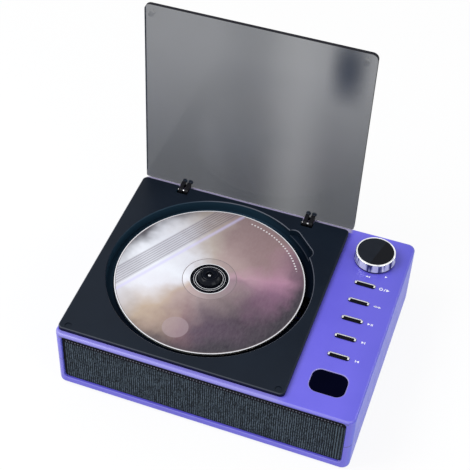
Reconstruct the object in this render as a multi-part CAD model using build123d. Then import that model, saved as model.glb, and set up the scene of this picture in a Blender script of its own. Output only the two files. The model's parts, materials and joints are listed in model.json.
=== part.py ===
from build123d import *
from math import atan2, cos, degrees, pi, radians, sin
import os

# Table-top and wall disc player with a flip-up lid. Millimetres, +Z up, +X to the control strip,
# +Y to the lid's hinges. The origin is the centre of the two wall-screw keyholes, on the case's
# underside.

# ---- how far joined shapes run into each other ----
join = 0.1

# ---- case ----
case_height = 46.5
case_wall = 2.2
case_corner_radius = 5.0
case_inner_radius = 1.0
case_top_edge_radius = 1.6
case_bottom_edge_radius = 2.0
parting_height = 22.3
deck_margin_left = 1.1
deck_margin_front = 3.3
deck_margin_back = 4.6
strip_width = 43.0
lip_thickness = 1.0
lip_height = 1.5
lip_root = 3.0
lip_clearance = 0.1
case_boss_radius = 3.6
case_boss_inset_x = 5.0
case_boss_inset_y = 9.5
case_screw_radius = 1.3
case_screw_head_radius = 2.6
case_screw_head_height = 1.8
case_screw_counterbore = 12.0
case_screw_reach = 9.0
screw_hole_clearance = 0.15
driver_slot_width = 0.6
driver_slot_depth = 0.6

# ---- feet and wall keyholes ----
foot_radius = 6.0
foot_thickness = 2.0
foot_recess_depth = 0.8
foot_edge_chamfer = 0.3
foot_inset_x = 20.0
foot_inset_y = 13.0
keyhole_pitch = 90.0
keyhole_head_radius = 4.0
keyhole_shank_radius = 2.1
keyhole_travel = 8.0
keyhole_room = 4.0
keyhole_cover_wall = 1.4

# ---- disc ----
disc_radius = 60.0
disc_hole_radius = 7.5
disc_thickness = 1.2
disc_ring_radius = 17.3
disc_ring_height = 0.15
disc_ring_width = 0.6
disc_offset_x = 0.15
disc_offset_y = 1.65
disc_sink = 1.0

# ---- deck: black plate with the disc well ----
deck_rim_x = 6.65
deck_rim_y = 5.25
deck_proud = 2.8
deck_corner_radius = 3.2
deck_edge_radius = 0.8
deck_wall = 2.0
well_clearance = 4.8
well_rim_chamfer = 0.4
disc_floor_gap = 2.6
deck_case_clearance = 0.4
finger_notch_angle = 45.5
finger_notch_width = 26.0
finger_notch_reach = 3.4
finger_notch_length = 16.0
finger_notch_radius = 5.0
finger_notch_depth = 4.5
finger_notch_wall = 1.4
hub_opening_clearance = 2.0
pickup_slot_side_clearance = 2.5
pickup_slot_end_clearance = 0.7
deck_screw_radius = 1.1
deck_screw_head_radius = 2.0
deck_screw_head_height = 1.4
deck_screw_tip_cover = 1.2
deck_screw_inset_x = 12.0
deck_screw_inset_y = 6.0

# ---- lid and its hinges ----
lid_offset_x = 1.0
lid_side_overhang = 0.7
lid_front_overhang = 0.75
lid_thickness = 3.1
lid_corner_radius = 4.0
lid_hinge_corner_radius = 1.2
lid_edge_chamfer = 0.3
lid_open_angle = 91.6
lid_back_overhang = 0.7
lid_lift = 5.7
pivot_inset = 2.55
pivot_rise = 1.15
hinge_inset = 29.05
hinge_pin_radius = 1.0
hinge_pin_clearance = 0.05
hinge_pin_seat = 2.4
knuckle_radius = 2.0
prong_width = 2.5
prong_gap = 1.4
prong_foot_front = 2.8
prong_foot_back = 0.7
prong_foot_thickness = 1.5
bridge_height = 1.3
pocket_width = 8.0
pocket_front_gap = 4.8
pocket_clearance = 0.45
pocket_wall = 1.4
pocket_case_gap = 0.25
bumper_radius = 1.8
bumper_inset_side = 5.9
bumper_inset_front = 3.8
dimple_radius = 2.2
dimple_depth = 0.5
bumper_clearance = 0.05
lid_screw_radius = 0.7
lid_screw_head_radius = 1.6
lid_screw_head_height = 1.0
lid_screw_place = 1.5
lid_screw_reach = 1.6

# ---- control strip ----
control_inset = 21.0
button_length = 13.4
button_width = 3.4
button_pitch = 15.0
button_row_y = -0.2
button_count = 5
button_names = ["power_button", "repeat_button", "play_button", "next_button", "previous_button"]
button_rim = 0.45
button_rim_proud = 0.6
button_rim_depth = 1.5
button_rim_edge_radius = 0.2
button_clearance = 0.12
button_cap_proud = 0.55
button_cap_edge_radius = 0.2
button_flange = 1.0
button_flange_thickness = 1.0
button_stem_radius = 1.3
button_stem_sink = 0.4
button_travel = 0.7
board_thickness = 1.6
board_corner_radius = 1.0
switch_side = 6.0
switch_height = 3.4
switch_bore_radius = 1.6
switch_floor = 0.8
control_board_drop = 7.6
control_board_width = 24.0
control_board_overhang = 1.0
board_boss_radius = 2.6
board_screw_radius = 1.0
board_screw_head_radius = 1.9
board_screw_head_height = 1.2
board_screw_reach = 5.0
screw_tip_gap = 0.5
control_board_margin = 3.2
window_width = 21.7
window_depth = 16.9
window_radius = 5.6
window_inset = 23.0
window_thickness = 1.2
window_sink = 0.25
window_ledge = 1.6
window_clearance = 0.1
window_rim_chamfer = 0.25
opening_chamfer = 0.3
display_margin = 0.4
display_window_gap = 0.3

# ---- volume knob ----
knob_inset = 20.9
knob_top_radius = 12.5
knob_base_radius = 13.0
knob_height = 7.0
knob_gap = 0.5
knob_edge_radius = 0.5
knob_wall = 1.5
knob_cap_radius = 11.5
knob_cap_thickness = 0.8
knob_cap_sink = 0.1
knob_hub_radius = 5.0
knob_skirt_height = 0.8
knob_web = 1.2
encoder_side = 12.0
encoder_height = 5.0
encoder_shaft_radius = 3.0
encoder_collar_radius = 4.0
encoder_collar_height = 2.4
encoder_flat = 1.5
encoder_shaft_clearance = 0.05
encoder_shaft_inset = 2.4
encoder_floor = 1.0
shaft_end_gap = 0.1
knob_hole_radius = 4.3

# ---- speaker grille ----
grille_side_margin = 4.5
grille_low = 5.5
grille_top_margin = 2.5
grille_radius = 3.0
grille_clearance = 0.2
grille_rim_chamfer = 0.4
cloth_sink = 1.2
cloth_thickness = 0.6
frame_lap = 1.3
frame_lap_top = 0.15
frame_thickness = 2.1
frame_edge_gap = 0.2

# ---- speakers ----
speaker_inset = 46.0
speaker_flange = 34.0
speaker_flange_radius = 4.0
speaker_flange_thickness = 1.5
speaker_cone_radius = 14.6
speaker_surround_lap = 1.2
surround_seat_depth = 0.9
surround_low = 0.3
speaker_neck_radius = 9.0
speaker_basket_depth = 13.7
speaker_basket_wall = 0.9
speaker_basket_rim = 1.0
speaker_basket_floor = 1.2
basket_window_width = 8.0
basket_window_depth = 7.0
basket_window_height = 6.8
grille_bar_half_width = 0.6
grille_bar_depth = 1.4
grille_slot_count = 9
grille_slot_half_width = 2.0
grille_slot_half_height = 14.0
grille_slot_speaker_gap = 6.0
speaker_magnet_radius = 11.0
speaker_magnet_depth = 7.0
magnet_chamfer = 0.5
speaker_coil_radius = 5.0
speaker_cone_depth = 8.0
speaker_paper = 0.6
dust_cap_rise = 1.6
cone_gap = 0.1
cone_step = 0.4
coil_floor_gap = 0.4
speaker_screw_pitch = 28.0
speaker_screw_radius = 0.9
speaker_screw_head_radius = 1.7
speaker_screw_head_height = 1.0
speaker_screw_reach = 1.7
speaker_screw_tip_gap = 0.1

# ---- disc mechanism ----
mechanism_room = 8.7
chassis_thickness = 2.0
chassis_left = 24.0
chassis_end_margin = 0.5
chassis_front_margin = 11.5
chassis_back_margin = 23.0
chassis_slot_half_width = 12.0
chassis_slot_start = 2.0
chassis_slot_end = 8.0
chassis_radius = 4.0
damper_radius = 4.5
damper_thickness = 2.6
damper_inset = 5.0
post_radius = 3.4
chassis_screw_radius = 1.2
chassis_screw_head_radius = 2.4
chassis_screw_head_height = 1.3
chassis_screw_reach = 7.0
spindle_motor_radius = 12.0
spindle_motor_height = 10.0
spindle_motor_boss_radius = 3.0
spindle_motor_boss_rise = 1.0
motor_boss_clearance = 0.3
motor_chamfer = 0.5
motor_floor = 2.0
spindle_shaft_radius = 1.0
spindle_shaft_clearance = 0.05
turntable_radius = 14.5
turntable_thickness = 1.5
turntable_sleeve_radius = 3.5
turntable_sleeve_length = 6.5
hub_clearance = 0.05
hub_straight = 2.0
hub_nose_height = 2.0
hub_nose_radius = 5.5
hub_recess_radius = 2.4
hub_recess_depth = 1.4
spindle_tip_rise = 0.9
spindle_tip_radius = 0.6
chuck_ball_radius = 1.0
chuck_ball_count = 3
chuck_ball_sink = 0.05
chuck_ball_clearance = 0.02
rod_radius = 1.5
rod_offset = 21.0
rod_height = 5.0
rod_overrun = 4.0
rod_post_length = 3.0
rod_post_half_width = 2.9
rod_seat_clearance = 0.02
rod_slide_clearance = 0.05
lens_inner_reach = 24.5
lens_edge_margin = 1.5
sled_length = 26.0
sled_half_width = 17.0
sled_bottom_gap = 2.6
sled_top_gap = 0.8
sled_lug_half_width = 3.4
sled_corner_radius = 1.5
fork_thickness = 1.2
fork_tip = 2.0
lens_housing_back = 8.0
lens_housing_front = 4.6
lens_housing_half_width = 8.0
lens_housing_top_gap = 3.2
lens_radius = 2.4
lens_holder_radius = 3.4
lens_holder_clearance = 0.3
lens_holder_depth = 2.2
lens_dome_height = 0.5
lens_well_gap = 0.6
lens_focus_travel = 0.4
lens_disc_gap = 2.0

# ---- sled drive ----
gear_module = 0.5
drive_gear_teeth = 16
large_gear_teeth = 40
motor_pinion_teeth = 10
gear_play = 0.16
large_gear_gap = 0.4
large_gear_thickness = 1.4
gear_pin_radius = 1.2
gear_bore_clearance = 0.05
rack_plate_thickness = 1.8
rack_height = 3.0
rack_margin = 5.0
drive_gear_reach = 36.8
pinion_low_gap = 0.3
pinion_thickness = 2.0
pinion_shaft_rise = 0.4
sled_motor_radius = 10.0
sled_motor_height = 13.0
sled_motor_shaft_radius = 0.8
sled_motor_boss_radius = 2.2

# ---- main board, sockets and battery ----
main_board_width = 22.0
main_board_offset = -3.0
main_board_front_inset = 30.0
main_board_back_gap = 1.2
board_stop_thickness = 1.5
board_stop_height = 13.0
board_stop_clearance = 0.1
main_board_height = 8.0
main_board_margin = 3.6
main_board_screw_inset = 14.4
chip_height = 1.6
chip_sides = [12.0, 9.0, 10.0]
chip_first_inset = 20.0
chip_pitch = 21.0
capacitor_radius = 3.2
capacitor_height = 9.0
capacitor_offset = 6.0
capacitor_inset = 36.6
usb_width = 9.0
usb_height = 3.2
usb_length = 7.4
usb_offset = 5.0
usb_shell = 0.35
usb_tongue = 0.7
usb_tongue_margin = 1.5
usb_tongue_sink = 1.0
usb_face_sink = 0.2
usb_back_wall = 1.0
socket_clearance = 0.25
jack_side = 7.0
jack_length = 12.0
jack_offset = -6.0
jack_wall_gap = 0.4
jack_bore_radius = 1.8
jack_bore_depth = 11.0
jack_collar_radius = 2.9
jack_collar_sink = 0.4
jack_opening_draft = 0.3
cell_radius = 9.2
cell_length = 66.0
battery_y = 6.0
battery_wrap = 0.4
battery_rib_height = 6.0
battery_rib_thickness = 1.5
battery_rib_clearance = 0.1

# ---- places worked out from the sizes above ----
well_radius = disc_radius + well_clearance
deck_width = 2 * (well_radius + deck_rim_x)
deck_depth = 2 * (well_radius + deck_rim_y)
case_width = deck_margin_left + deck_width + strip_width
case_depth = deck_margin_front + deck_depth + deck_margin_back
case_half_x = case_width / 2
case_half_y = case_depth / 2
inner_half_x = case_half_x - case_wall
inner_half_y = case_half_y - case_wall
ceiling = case_height - case_wall
deck_x = -case_half_x + deck_margin_left + deck_width / 2
deck_y = -case_half_y + deck_margin_front + deck_depth / 2
disc_x = deck_x + disc_offset_x
disc_y = deck_y + disc_offset_y
control_x = deck_x + deck_width / 2 + control_inset
knob_y = case_half_y - knob_inset
window_y = -case_half_y + window_inset
deck_top = case_height + deck_proud
deck_back = deck_y + deck_depth / 2
disc_top = case_height - disc_sink
disc_bottom = disc_top - disc_thickness
well_floor = disc_bottom - disc_floor_gap
well_underside = well_floor - deck_wall
pivot_y = deck_back - pivot_inset
pivot_z = case_height + pivot_rise
pocket_front = pivot_y - pocket_front_gap
pocket_floor = pivot_z - knuckle_radius - pocket_clearance
pocket_back = pivot_y + knuckle_radius + pocket_clearance
lid_underside = pivot_z + lid_lift
lid_back = pivot_y + lid_back_overhang
lid_x = deck_x + lid_offset_x
lid_width = deck_width + 2 * lid_side_overhang
lid_depth = lid_back - (deck_y - deck_depth / 2) + lid_front_overhang
board_top = ceiling - control_board_drop
board_bottom = board_top - board_thickness
switch_top = board_top + switch_height
button_ys = [button_row_y + button_pitch * ((button_count - 1) / 2 - i) for i in range(button_count)]
cloth_front = -case_half_y + cloth_sink
frame_front = cloth_front + cloth_thickness
frame_back = -inner_half_y + frame_thickness
grille_width = case_width - 2 * grille_side_margin
grille_high = case_height - grille_top_margin
speaker_x = case_half_x - speaker_inset
speaker_height = (grille_low + grille_high) / 2
chassis_top = well_underside - mechanism_room
chassis_low = chassis_top - chassis_thickness
rod_z = chassis_top + rod_height
lens_x = disc_x + lens_inner_reach
pickup_travel = disc_radius - lens_edge_margin - lens_inner_reach
sled_low = chassis_top + sled_bottom_gap
sled_high = well_underside - sled_top_gap
lens_top = disc_bottom - lens_disc_gap
housing_top = disc_bottom - lens_housing_top_gap
rod_min_x = lens_x - sled_length / 2 - rod_overrun
rod_max_x = lens_x + pickup_travel + sled_length / 2 + rod_overrun
chassis_min_x = disc_x - chassis_left
chassis_max_x = rod_max_x + rod_post_length + chassis_end_margin
chassis_min_y = disc_y - rod_offset - chassis_front_margin
chassis_max_y = disc_y + rod_offset + chassis_back_margin
drive_gear_radius = gear_module * drive_gear_teeth / 2
large_gear_radius = gear_module * large_gear_teeth / 2
motor_pinion_radius = gear_module * motor_pinion_teeth / 2
rack_pitch_y = disc_y + rod_offset + sled_lug_half_width + rack_plate_thickness + gear_module
drive_gear_x = disc_x + drive_gear_reach
drive_gear_y = rack_pitch_y + drive_gear_radius
large_gear_low = chassis_top + large_gear_gap
large_gear_high = large_gear_low + large_gear_thickness
motor_pinion_x = drive_gear_x + large_gear_radius + motor_pinion_radius
case_boss_places = [(sx * (case_half_x - case_boss_inset_x), sy * (case_half_y - case_boss_inset_y))
                    for sx in (-1, 1) for sy in (-1, 1)]
foot_places = [(sx * (case_half_x - foot_inset_x), sy * (case_half_y - foot_inset_y))
               for sx in (-1, 1) for sy in (-1, 1)]
hinge_places = [lid_x + side * (lid_width / 2 - hinge_inset) for side in (-1, 1)]
damper_places = [(x, y) for x in (chassis_min_x + damper_inset, chassis_max_x - damper_inset)
                 for y in (chassis_min_y + damper_inset, chassis_max_y - damper_inset)]
deck_screw_places = [(deck_x + sx * (deck_width / 2 - deck_screw_inset_x),
                      deck_y + sy * (deck_depth / 2 - deck_screw_inset_y))
                     for sx in (-1, 1)
                     for sy in (-1, 1)]
window_back = window_y + window_depth / 2 - window_ledge - display_margin
window_front = window_y - window_depth / 2 + window_ledge + display_margin
encoder_front = knob_y - encoder_side / 2
encoder_back = knob_y + encoder_side / 2
control_board_screws = [(control_x + sx * (control_board_width / 2 - control_board_margin), y)
                        for sx in (-1, 1)
                        for y in ((button_ys[0] + switch_side / 2 + encoder_front) / 2,
                                  (button_ys[-1] - switch_side / 2 + window_back) / 2)]
main_board_x = control_x + main_board_offset
main_board_front = -case_half_y + main_board_front_inset
main_board_back = inner_half_y - main_board_back_gap
usb_x = main_board_x + usb_offset
jack_x = main_board_x + jack_offset
battery_x = -inner_half_x + 2 * cell_radius + battery_wrap + battery_rib_clearance + battery_rib_thickness
main_board_top = main_board_height + board_thickness
main_board_screw_rows = [main_board_front + main_board_margin, main_board_back - main_board_screw_inset]
main_board_screws = [(main_board_x + sx * (main_board_width / 2 - main_board_margin), y)
                     for sx in (-1, 1)
                     for y in main_board_screw_rows]


# ---- shared shapes ----
def block(x0, x1, y0, y1, z0, z1):
    return Pos((x0 + x1) / 2, (y0 + y1) / 2, (z0 + z1) / 2) * Box(x1 - x0, y1 - y0, z1 - z0)


def rounded_block(width, depth, radius, low, high, x=0.0, y=0.0):
    return Pos(x, y, low) * extrude(RectangleRounded(width, depth, radius), high - low)


def post(radius, low, high, x, y):
    return Pos(x, y, (low + high) / 2) * Cylinder(radius, high - low)


def rod_along_x(radius, x0, x1, y, z):
    return Pos((x0 + x1) / 2, y, z) * Rot(0, 90, 0) * Cylinder(radius, x1 - x0)


def rod_along_y(radius, y0, y1, x, z):
    return Pos(x, (y0 + y1) / 2, z) * Rot(90, 0, 0) * Cylinder(radius, y1 - y0)


def front_panel(width, radius, z0, z1, y0, y1):
    panel = extrude(RectangleRounded(width, z1 - z0, radius), y1 - y0)
    return Pos(0, y1, (z0 + z1) / 2) * Rot(90, 0, 0) * panel


def screw(shank_radius, head_radius, head_height, shank, x, y, z, upward=True):
    """Pan-head screw whose head's underside is at z; its shank points up or down."""
    head = Pos(0, 0, -head_height / 2) * Cylinder(head_radius, head_height)
    head = chamfer(head.edges().sort_by(Axis.Z)[0], head_height * 0.3)
    slot = Pos(0, 0, -head_height + driver_slot_depth / 2)
    head -= slot * Box(head_radius * 1.3, driver_slot_width, driver_slot_depth)
    head -= slot * Box(driver_slot_width, head_radius * 1.3, driver_slot_depth)
    body = head + Pos(0, 0, shank / 2) * Cylinder(shank_radius, shank)
    turn = Rot(0, 0, 0) if upward else Rot(180, 0, 0)
    return Pos(x, y, z) * turn * body


def group(shapes):
    return Compound(children=[solid for shape in shapes for solid in shape.solids()])


def ring_cut(outer, inner, low, high, x, y):
    return post(outer, low, high, x, y) - post(inner, low, high, x, y)


def gear_outline(teeth, first_angle):
    """Straight-sided teeth round a pitch circle; first_angle is where one tooth points."""
    pitch_radius = gear_module * teeth / 2
    half_tooth = pi / (2 * teeth) * (1 - gear_play)
    root = pitch_radius - 1.2 * gear_module
    tip = pitch_radius + 0.85 * gear_module
    points = []
    for i in range(teeth):
        middle = radians(first_angle) + 2 * pi * i / teeth
        for radius, share in ((root, -1.45), (tip, -0.5), (tip, 0.5), (root, 1.45)):
            angle = middle + share * half_tooth
            points.append((radius * cos(angle), radius * sin(angle)))
    return make_face(Polyline(*points, close=True))


def gear(teeth, first_angle, low, high, x, y):
    return Pos(x, y, low) * extrude(gear_outline(teeth, first_angle), high - low)


def finger_notch(grow, low, high):
    """Lobe of the disc well that leaves room for a fingertip beside the disc."""
    length = finger_notch_length + 2 * grow
    lobe = RectangleRounded(length, finger_notch_width + 2 * grow, finger_notch_radius + grow)
    return finger_notch_place(low) * extrude(lobe, high - low)


def finger_notch_place(low):
    reach = well_radius + finger_notch_reach - finger_notch_length / 2
    return Pos(disc_x, disc_y, low) * Rot(0, 0, finger_notch_angle) * Pos(reach, 0, 0)


def flare(outline, top, amount):
    """Cutter that bevels the upper edge of a hole with this outline."""
    return Pos(0, 0, top - amount) * extrude(outline, 2 * amount, taper=-45)


def opened(shape):
    """Turns a piece of the closed lid to its open place."""
    return shape.rotate(Axis((0, pivot_y, pivot_z), (1, 0, 0)), -lid_open_angle)


# ---- case ----
def front_opening():
    """Opening for the grille with a bevel where it meets the case's front."""
    opening = front_panel(grille_width, grille_radius, grille_low, grille_high,
                          -case_half_y - 1, -inner_half_y + 1)
    outline = RectangleRounded(grille_width, grille_high - grille_low, grille_radius)
    bevel = Pos(0, -case_half_y, speaker_height) * Rot(90, 0, 0) * flare(outline, 0, grille_rim_chamfer)
    return opening + bevel


def hinge_pocket_block(x, grow, low, high, back):
    half = pocket_width / 2 + grow
    return block(x - half, x + half, pocket_front - grow, back, low, high)


def upper_case():
    shell = rounded_block(case_width, case_depth, case_corner_radius, parting_height, case_height)
    shell = fillet(shell.faces().sort_by(Axis.Z)[-1].edges(), case_top_edge_radius)
    shell -= rounded_block(2 * inner_half_x, 2 * inner_half_y, case_inner_radius, parting_height - 1, ceiling)
    for x, y in case_boss_places:
        shell += post(case_boss_radius, parting_height, ceiling + join, x, y)
        shell -= post(case_screw_radius, parting_height - 1, parting_height + case_screw_reach + 1, x, y)
    for x, y in control_board_screws:
        shell += post(board_boss_radius, board_top, ceiling + join, x, y)
        shell -= post(board_screw_radius, board_top - 1, board_top + board_screw_reach, x, y)
    shell -= front_opening()
    shell -= post(well_radius + deck_wall + deck_case_clearance, ceiling - 1, case_height + 1, disc_x, disc_y)
    shell -= finger_notch(finger_notch_wall + deck_case_clearance, ceiling - 1, case_height + 1)
    for x in hinge_places:
        shell -= hinge_pocket_block(x, pocket_wall + pocket_case_gap, ceiling - 1, case_height + 1,
                                    pocket_back)
    for x, y in deck_screw_places:
        shell -= post(deck_screw_radius + screw_hole_clearance, ceiling - 1, case_height + 1, x, y)
    for y in button_ys:
        shell -= rounded_block(button_length, button_width, button_width / 2 - 0.01,
                               case_height - button_rim_depth, case_height + 1, control_x, y)
        inner_width = button_width - 2 * button_rim
        shell -= rounded_block(button_length - 2 * button_rim, inner_width, inner_width / 2 - 0.01,
                               ceiling - 1, case_height + 1, control_x, y)
    shell -= rounded_block(window_width, window_depth, window_radius,
                           case_height - window_sink - window_thickness, case_height + 1, control_x, window_y)
    shell -= rounded_block(window_width - 2 * window_ledge, window_depth - 2 * window_ledge,
                           window_radius - window_ledge, ceiling - 1, case_height + 1, control_x, window_y)
    window = RectangleRounded(window_width, window_depth, window_radius)
    shell -= Pos(control_x, window_y, 0) * flare(window, case_height, opening_chamfer)
    shell -= post(knob_hole_radius, ceiling - 1, case_height + 1, control_x, knob_y)
    return shell


def keyhole(grow, low, high):
    hole = post(keyhole_head_radius + grow, low, high, 0, 0)
    slot = keyhole_shank_radius + grow
    hole += block(-slot, slot, 0, keyhole_travel, low, high)
    return hole + post(slot, low, high, 0, keyhole_travel)


def keyhole_cover():
    top = case_wall + keyhole_room
    half = keyhole_head_radius + keyhole_cover_wall
    outer = block(-half, half, -half, keyhole_travel + half, case_wall - join, top + keyhole_cover_wall)
    room = keyhole_head_radius
    return outer - block(-room, room, -room, keyhole_travel + room, case_wall - 0.2, top)


def lower_case():
    shell = rounded_block(case_width, case_depth, case_corner_radius, 0, parting_height)
    shell = fillet(shell.faces().sort_by(Axis.Z)[0].edges(), case_bottom_edge_radius)
    shell -= rounded_block(2 * inner_half_x, 2 * inner_half_y, case_inner_radius,
                           case_wall, parting_height + 1)
    shell += case_lip()
    shell -= front_opening()
    for x, y in case_boss_places:
        shell += post(case_boss_radius, case_wall - join, parting_height, x, y)
        shell -= post(case_screw_radius + screw_hole_clearance, -1, parting_height + 1, x, y)
        shell -= post(case_screw_head_radius + screw_hole_clearance, -1, case_screw_counterbore, x, y)
    for x, y in foot_places:
        shell -= post(foot_radius, -1, foot_recess_depth, x, y)
    for x in (-keyhole_pitch / 2, keyhole_pitch / 2):
        shell += Pos(x, 0, 0) * keyhole_cover()
        shell -= Pos(x, 0, 0) * keyhole(0, -1, case_wall + 0.5)
    for x, y in damper_places:
        shell += post(post_radius, case_wall - join, chassis_low - damper_thickness, x, y)
        low = chassis_low - damper_thickness - chassis_screw_reach
        shell -= post(chassis_screw_radius, low, chassis_low, x, y)
    for x, y in main_board_screws:
        shell += post(board_boss_radius, case_wall - join, main_board_height, x, y)
        shell -= post(board_screw_radius, main_board_height - board_screw_reach, main_board_height + 1, x, y)
    shell += battery_ribs() + board_stop()
    shell -= usb_opening()
    return shell - jack_opening()


def case_lip():
    """Ridge inside the rim of the lower shell that the upper shell slips over, left out at the grille."""
    lip_x = inner_half_x - lip_clearance
    lip_y = inner_half_y - lip_clearance
    root = parting_height - lip_root
    lip = rounded_block(2 * lip_x, 2 * lip_y, case_inner_radius, root, parting_height + lip_height)
    lip += rounded_block(2 * inner_half_x, 2 * inner_half_y, case_inner_radius, root, parting_height)
    lip -= block(lip_thickness - lip_x, lip_x - lip_thickness, lip_thickness - lip_y, lip_y - lip_thickness,
                 root - 1, case_height)
    for x, y in case_boss_places:
        lip -= post(case_boss_radius + lip_clearance, parting_height, case_height, x, y)
    return lip - block(-case_half_x, case_half_x, -case_half_y, frame_back + 1, root - 1, case_height)


def battery_ribs():
    half_x = 2 * cell_radius + battery_wrap + battery_rib_clearance
    half_y = cell_length / 2 + battery_wrap + battery_rib_clearance
    low = case_wall - join
    high = case_wall + battery_rib_height
    outer = block(battery_x - half_x - battery_rib_thickness, battery_x + half_x + battery_rib_thickness,
                  battery_y - half_y - battery_rib_thickness, battery_y + half_y + battery_rib_thickness,
                  low, high)
    return outer - block(battery_x - half_x, battery_x + half_x, battery_y - half_y, battery_y + half_y,
                         low - 1, high + 1)


def board_stop():
    """Rib before the main board that takes the push of a plug."""
    back = main_board_front - board_stop_clearance
    return block(main_board_x - main_board_width / 2, main_board_x + main_board_width / 2,
                 back - board_stop_thickness, back, case_wall - join, case_wall + board_stop_height)


def jack_opening():
    """Hole for the socket's collar, drafted so that it widens outwards."""
    inside = jack_collar_radius + socket_clearance
    length = case_half_y + 1 - main_board_back
    hole = Cone(inside + jack_opening_draft, inside, length)
    return Pos(jack_x, main_board_back + length / 2, main_board_top + jack_side / 2) * Rot(90, 0, 0) * hole


def usb_opening():
    height = usb_height + 2 * socket_clearance
    width = usb_width + 2 * socket_clearance
    opening = extrude(RectangleRounded(width, height, height / 2 - 0.05), case_wall + 2)
    return Pos(usb_x, case_half_y + 1, main_board_top + usb_height / 2) * Rot(90, 0, 0) * opening


def case_screws():
    shank = parting_height - case_screw_counterbore + case_screw_reach
    return group([screw(case_screw_radius, case_screw_head_radius, case_screw_head_height, shank, x, y,
                        case_screw_counterbore)
                  for x, y in case_boss_places])


def rubber_feet():
    low = foot_recess_depth - foot_thickness
    feet = []
    for x, y in foot_places:
        foot = post(foot_radius, low, foot_recess_depth, x, y)
        feet.append(chamfer(foot.edges().sort_by(Axis.Z)[0], foot_edge_chamfer))
    return group(feet)


# ---- deck ----
def deck_plate():
    plate = rounded_block(deck_width, deck_depth, deck_corner_radius, case_height, deck_top, deck_x, deck_y)
    plate = fillet(plate.faces().sort_by(Axis.Z)[-1].edges(), deck_edge_radius)
    plate += post(well_radius + deck_wall, well_underside, case_height + join, disc_x, disc_y)
    notch_floor = deck_top - finger_notch_depth
    plate += finger_notch(finger_notch_wall, notch_floor - finger_notch_wall, case_height + join)
    for x in hinge_places:
        plate += hinge_pocket_block(x, pocket_wall, pocket_floor - pocket_wall, case_height + join,
                                    pocket_back - pocket_case_gap)
    plate -= post(well_radius, well_floor, deck_top + 1, disc_x, disc_y)
    plate -= finger_notch(0, notch_floor, deck_top + 1)
    for x in hinge_places:
        plate -= hinge_pocket_block(x, 0, pocket_floor, deck_top + 1, deck_back + 1)
        half = pocket_width / 2 + hinge_pin_seat
        plate -= rod_along_x(hinge_pin_radius, x - half, x + half, pivot_y, pivot_z)
    for x, y in dimple_places():
        plate -= post(dimple_radius, deck_top - dimple_depth, deck_top + 1, x, y)
    plate -= Pos(disc_x, disc_y, 0) * flare(Circle(well_radius), deck_top, well_rim_chamfer)
    lobe = RectangleRounded(finger_notch_length, finger_notch_width, finger_notch_radius)
    plate -= finger_notch_place(0) * flare(lobe, deck_top, well_rim_chamfer)
    plate -= post(turntable_radius + hub_opening_clearance, well_underside - 1, well_floor + 1,
                  disc_x, disc_y)
    half_slot = lens_housing_half_width + pickup_slot_side_clearance
    slot_end = lens_x + pickup_travel + lens_housing_front + pickup_slot_end_clearance
    plate -= block(disc_x, slot_end, disc_y - half_slot, disc_y + half_slot,
                   well_underside - 1, well_floor + 1)
    for x, y in deck_screw_places:
        plate -= post(deck_screw_radius, case_height - 1, deck_top - deck_screw_tip_cover, x, y)
    return plate


def dimple_places():
    front = lid_back - lid_depth + bumper_inset_front
    return [(lid_x + side * (lid_width / 2 - bumper_inset_side), front) for side in (-1, 1)]


def deck_screws():
    reach = case_wall + deck_proud - deck_screw_tip_cover
    return group([screw(deck_screw_radius, deck_screw_head_radius, deck_screw_head_height, reach, x, y,
                        ceiling)
                  for x, y in deck_screw_places])


# ---- lid, built closed and then turned open ----
def lid_screw_places():
    half = (prong_width + prong_gap) / 2
    return [(x + side * half, pivot_y - lid_screw_place) for x in hinge_places for side in (-1, 1)]


def lid_panel():
    outline = Pos(lid_x, lid_back - lid_depth / 2) * Rectangle(lid_width, lid_depth)
    corners = outline.vertices().sort_by(Axis.Y)
    outline = fillet(corners[:2], lid_corner_radius)
    outline = fillet(outline.vertices().sort_by(Axis.Y)[-2:], lid_hinge_corner_radius)
    panel = Pos(0, 0, lid_underside) * extrude(outline, lid_thickness)
    edges = panel.faces().sort_by(Axis.Z)[-1].edges() + panel.faces().sort_by(Axis.Z)[0].edges()
    panel = chamfer(edges, lid_edge_chamfer)
    top = lid_underside + lid_thickness
    for x, y in lid_screw_places():
        panel -= post(lid_screw_radius, lid_underside - 1, top + 1, x, y)
        panel -= post(lid_screw_head_radius, top - lid_screw_head_height, top + 1, x, y)
    return opened(panel)


def lid_bumpers():
    low = deck_top - dimple_depth + bumper_clearance
    return group([opened(post(bumper_radius, low, lid_underside, x, y)) for x, y in dimple_places()])


def hinge_arm(x):
    low = pivot_z + lid_lift - prong_foot_thickness
    profile = make_face(Polyline(
        (pivot_y - knuckle_radius, pivot_z),
        (pivot_y - prong_foot_front, low),
        (pivot_y - prong_foot_front, lid_underside),
        (pivot_y + prong_foot_back, lid_underside),
        (pivot_y + prong_foot_back, pivot_z),
        close=True))
    arm = None
    for side in (-1, 1):
        left = x + side * (prong_width + prong_gap) / 2 - prong_width / 2
        prong = Pos(left, 0, 0) * extrude(Plane.YZ * profile, prong_width)
        prong += rod_along_x(knuckle_radius, left, left + prong_width, pivot_y, pivot_z)
        arm = prong if arm is None else arm + prong
    half = (prong_width + prong_gap) / 2
    arm += block(x - half, x + half, pivot_y + prong_foot_back - bridge_height, pivot_y + prong_foot_back,
                 low, lid_underside)
    reach = prong_width + prong_gap
    arm -= rod_along_x(hinge_pin_radius + hinge_pin_clearance, x - reach, x + reach, pivot_y, pivot_z)
    for screw_x, screw_y in lid_screw_places():
        arm -= post(lid_screw_radius, low - lid_screw_reach, lid_underside + 1, screw_x, screw_y)
    return opened(arm)


def hinge_pins():
    half = pocket_width / 2 + hinge_pin_seat
    return group([rod_along_x(hinge_pin_radius, x - half, x + half, pivot_y, pivot_z) for x in hinge_places])


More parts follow.
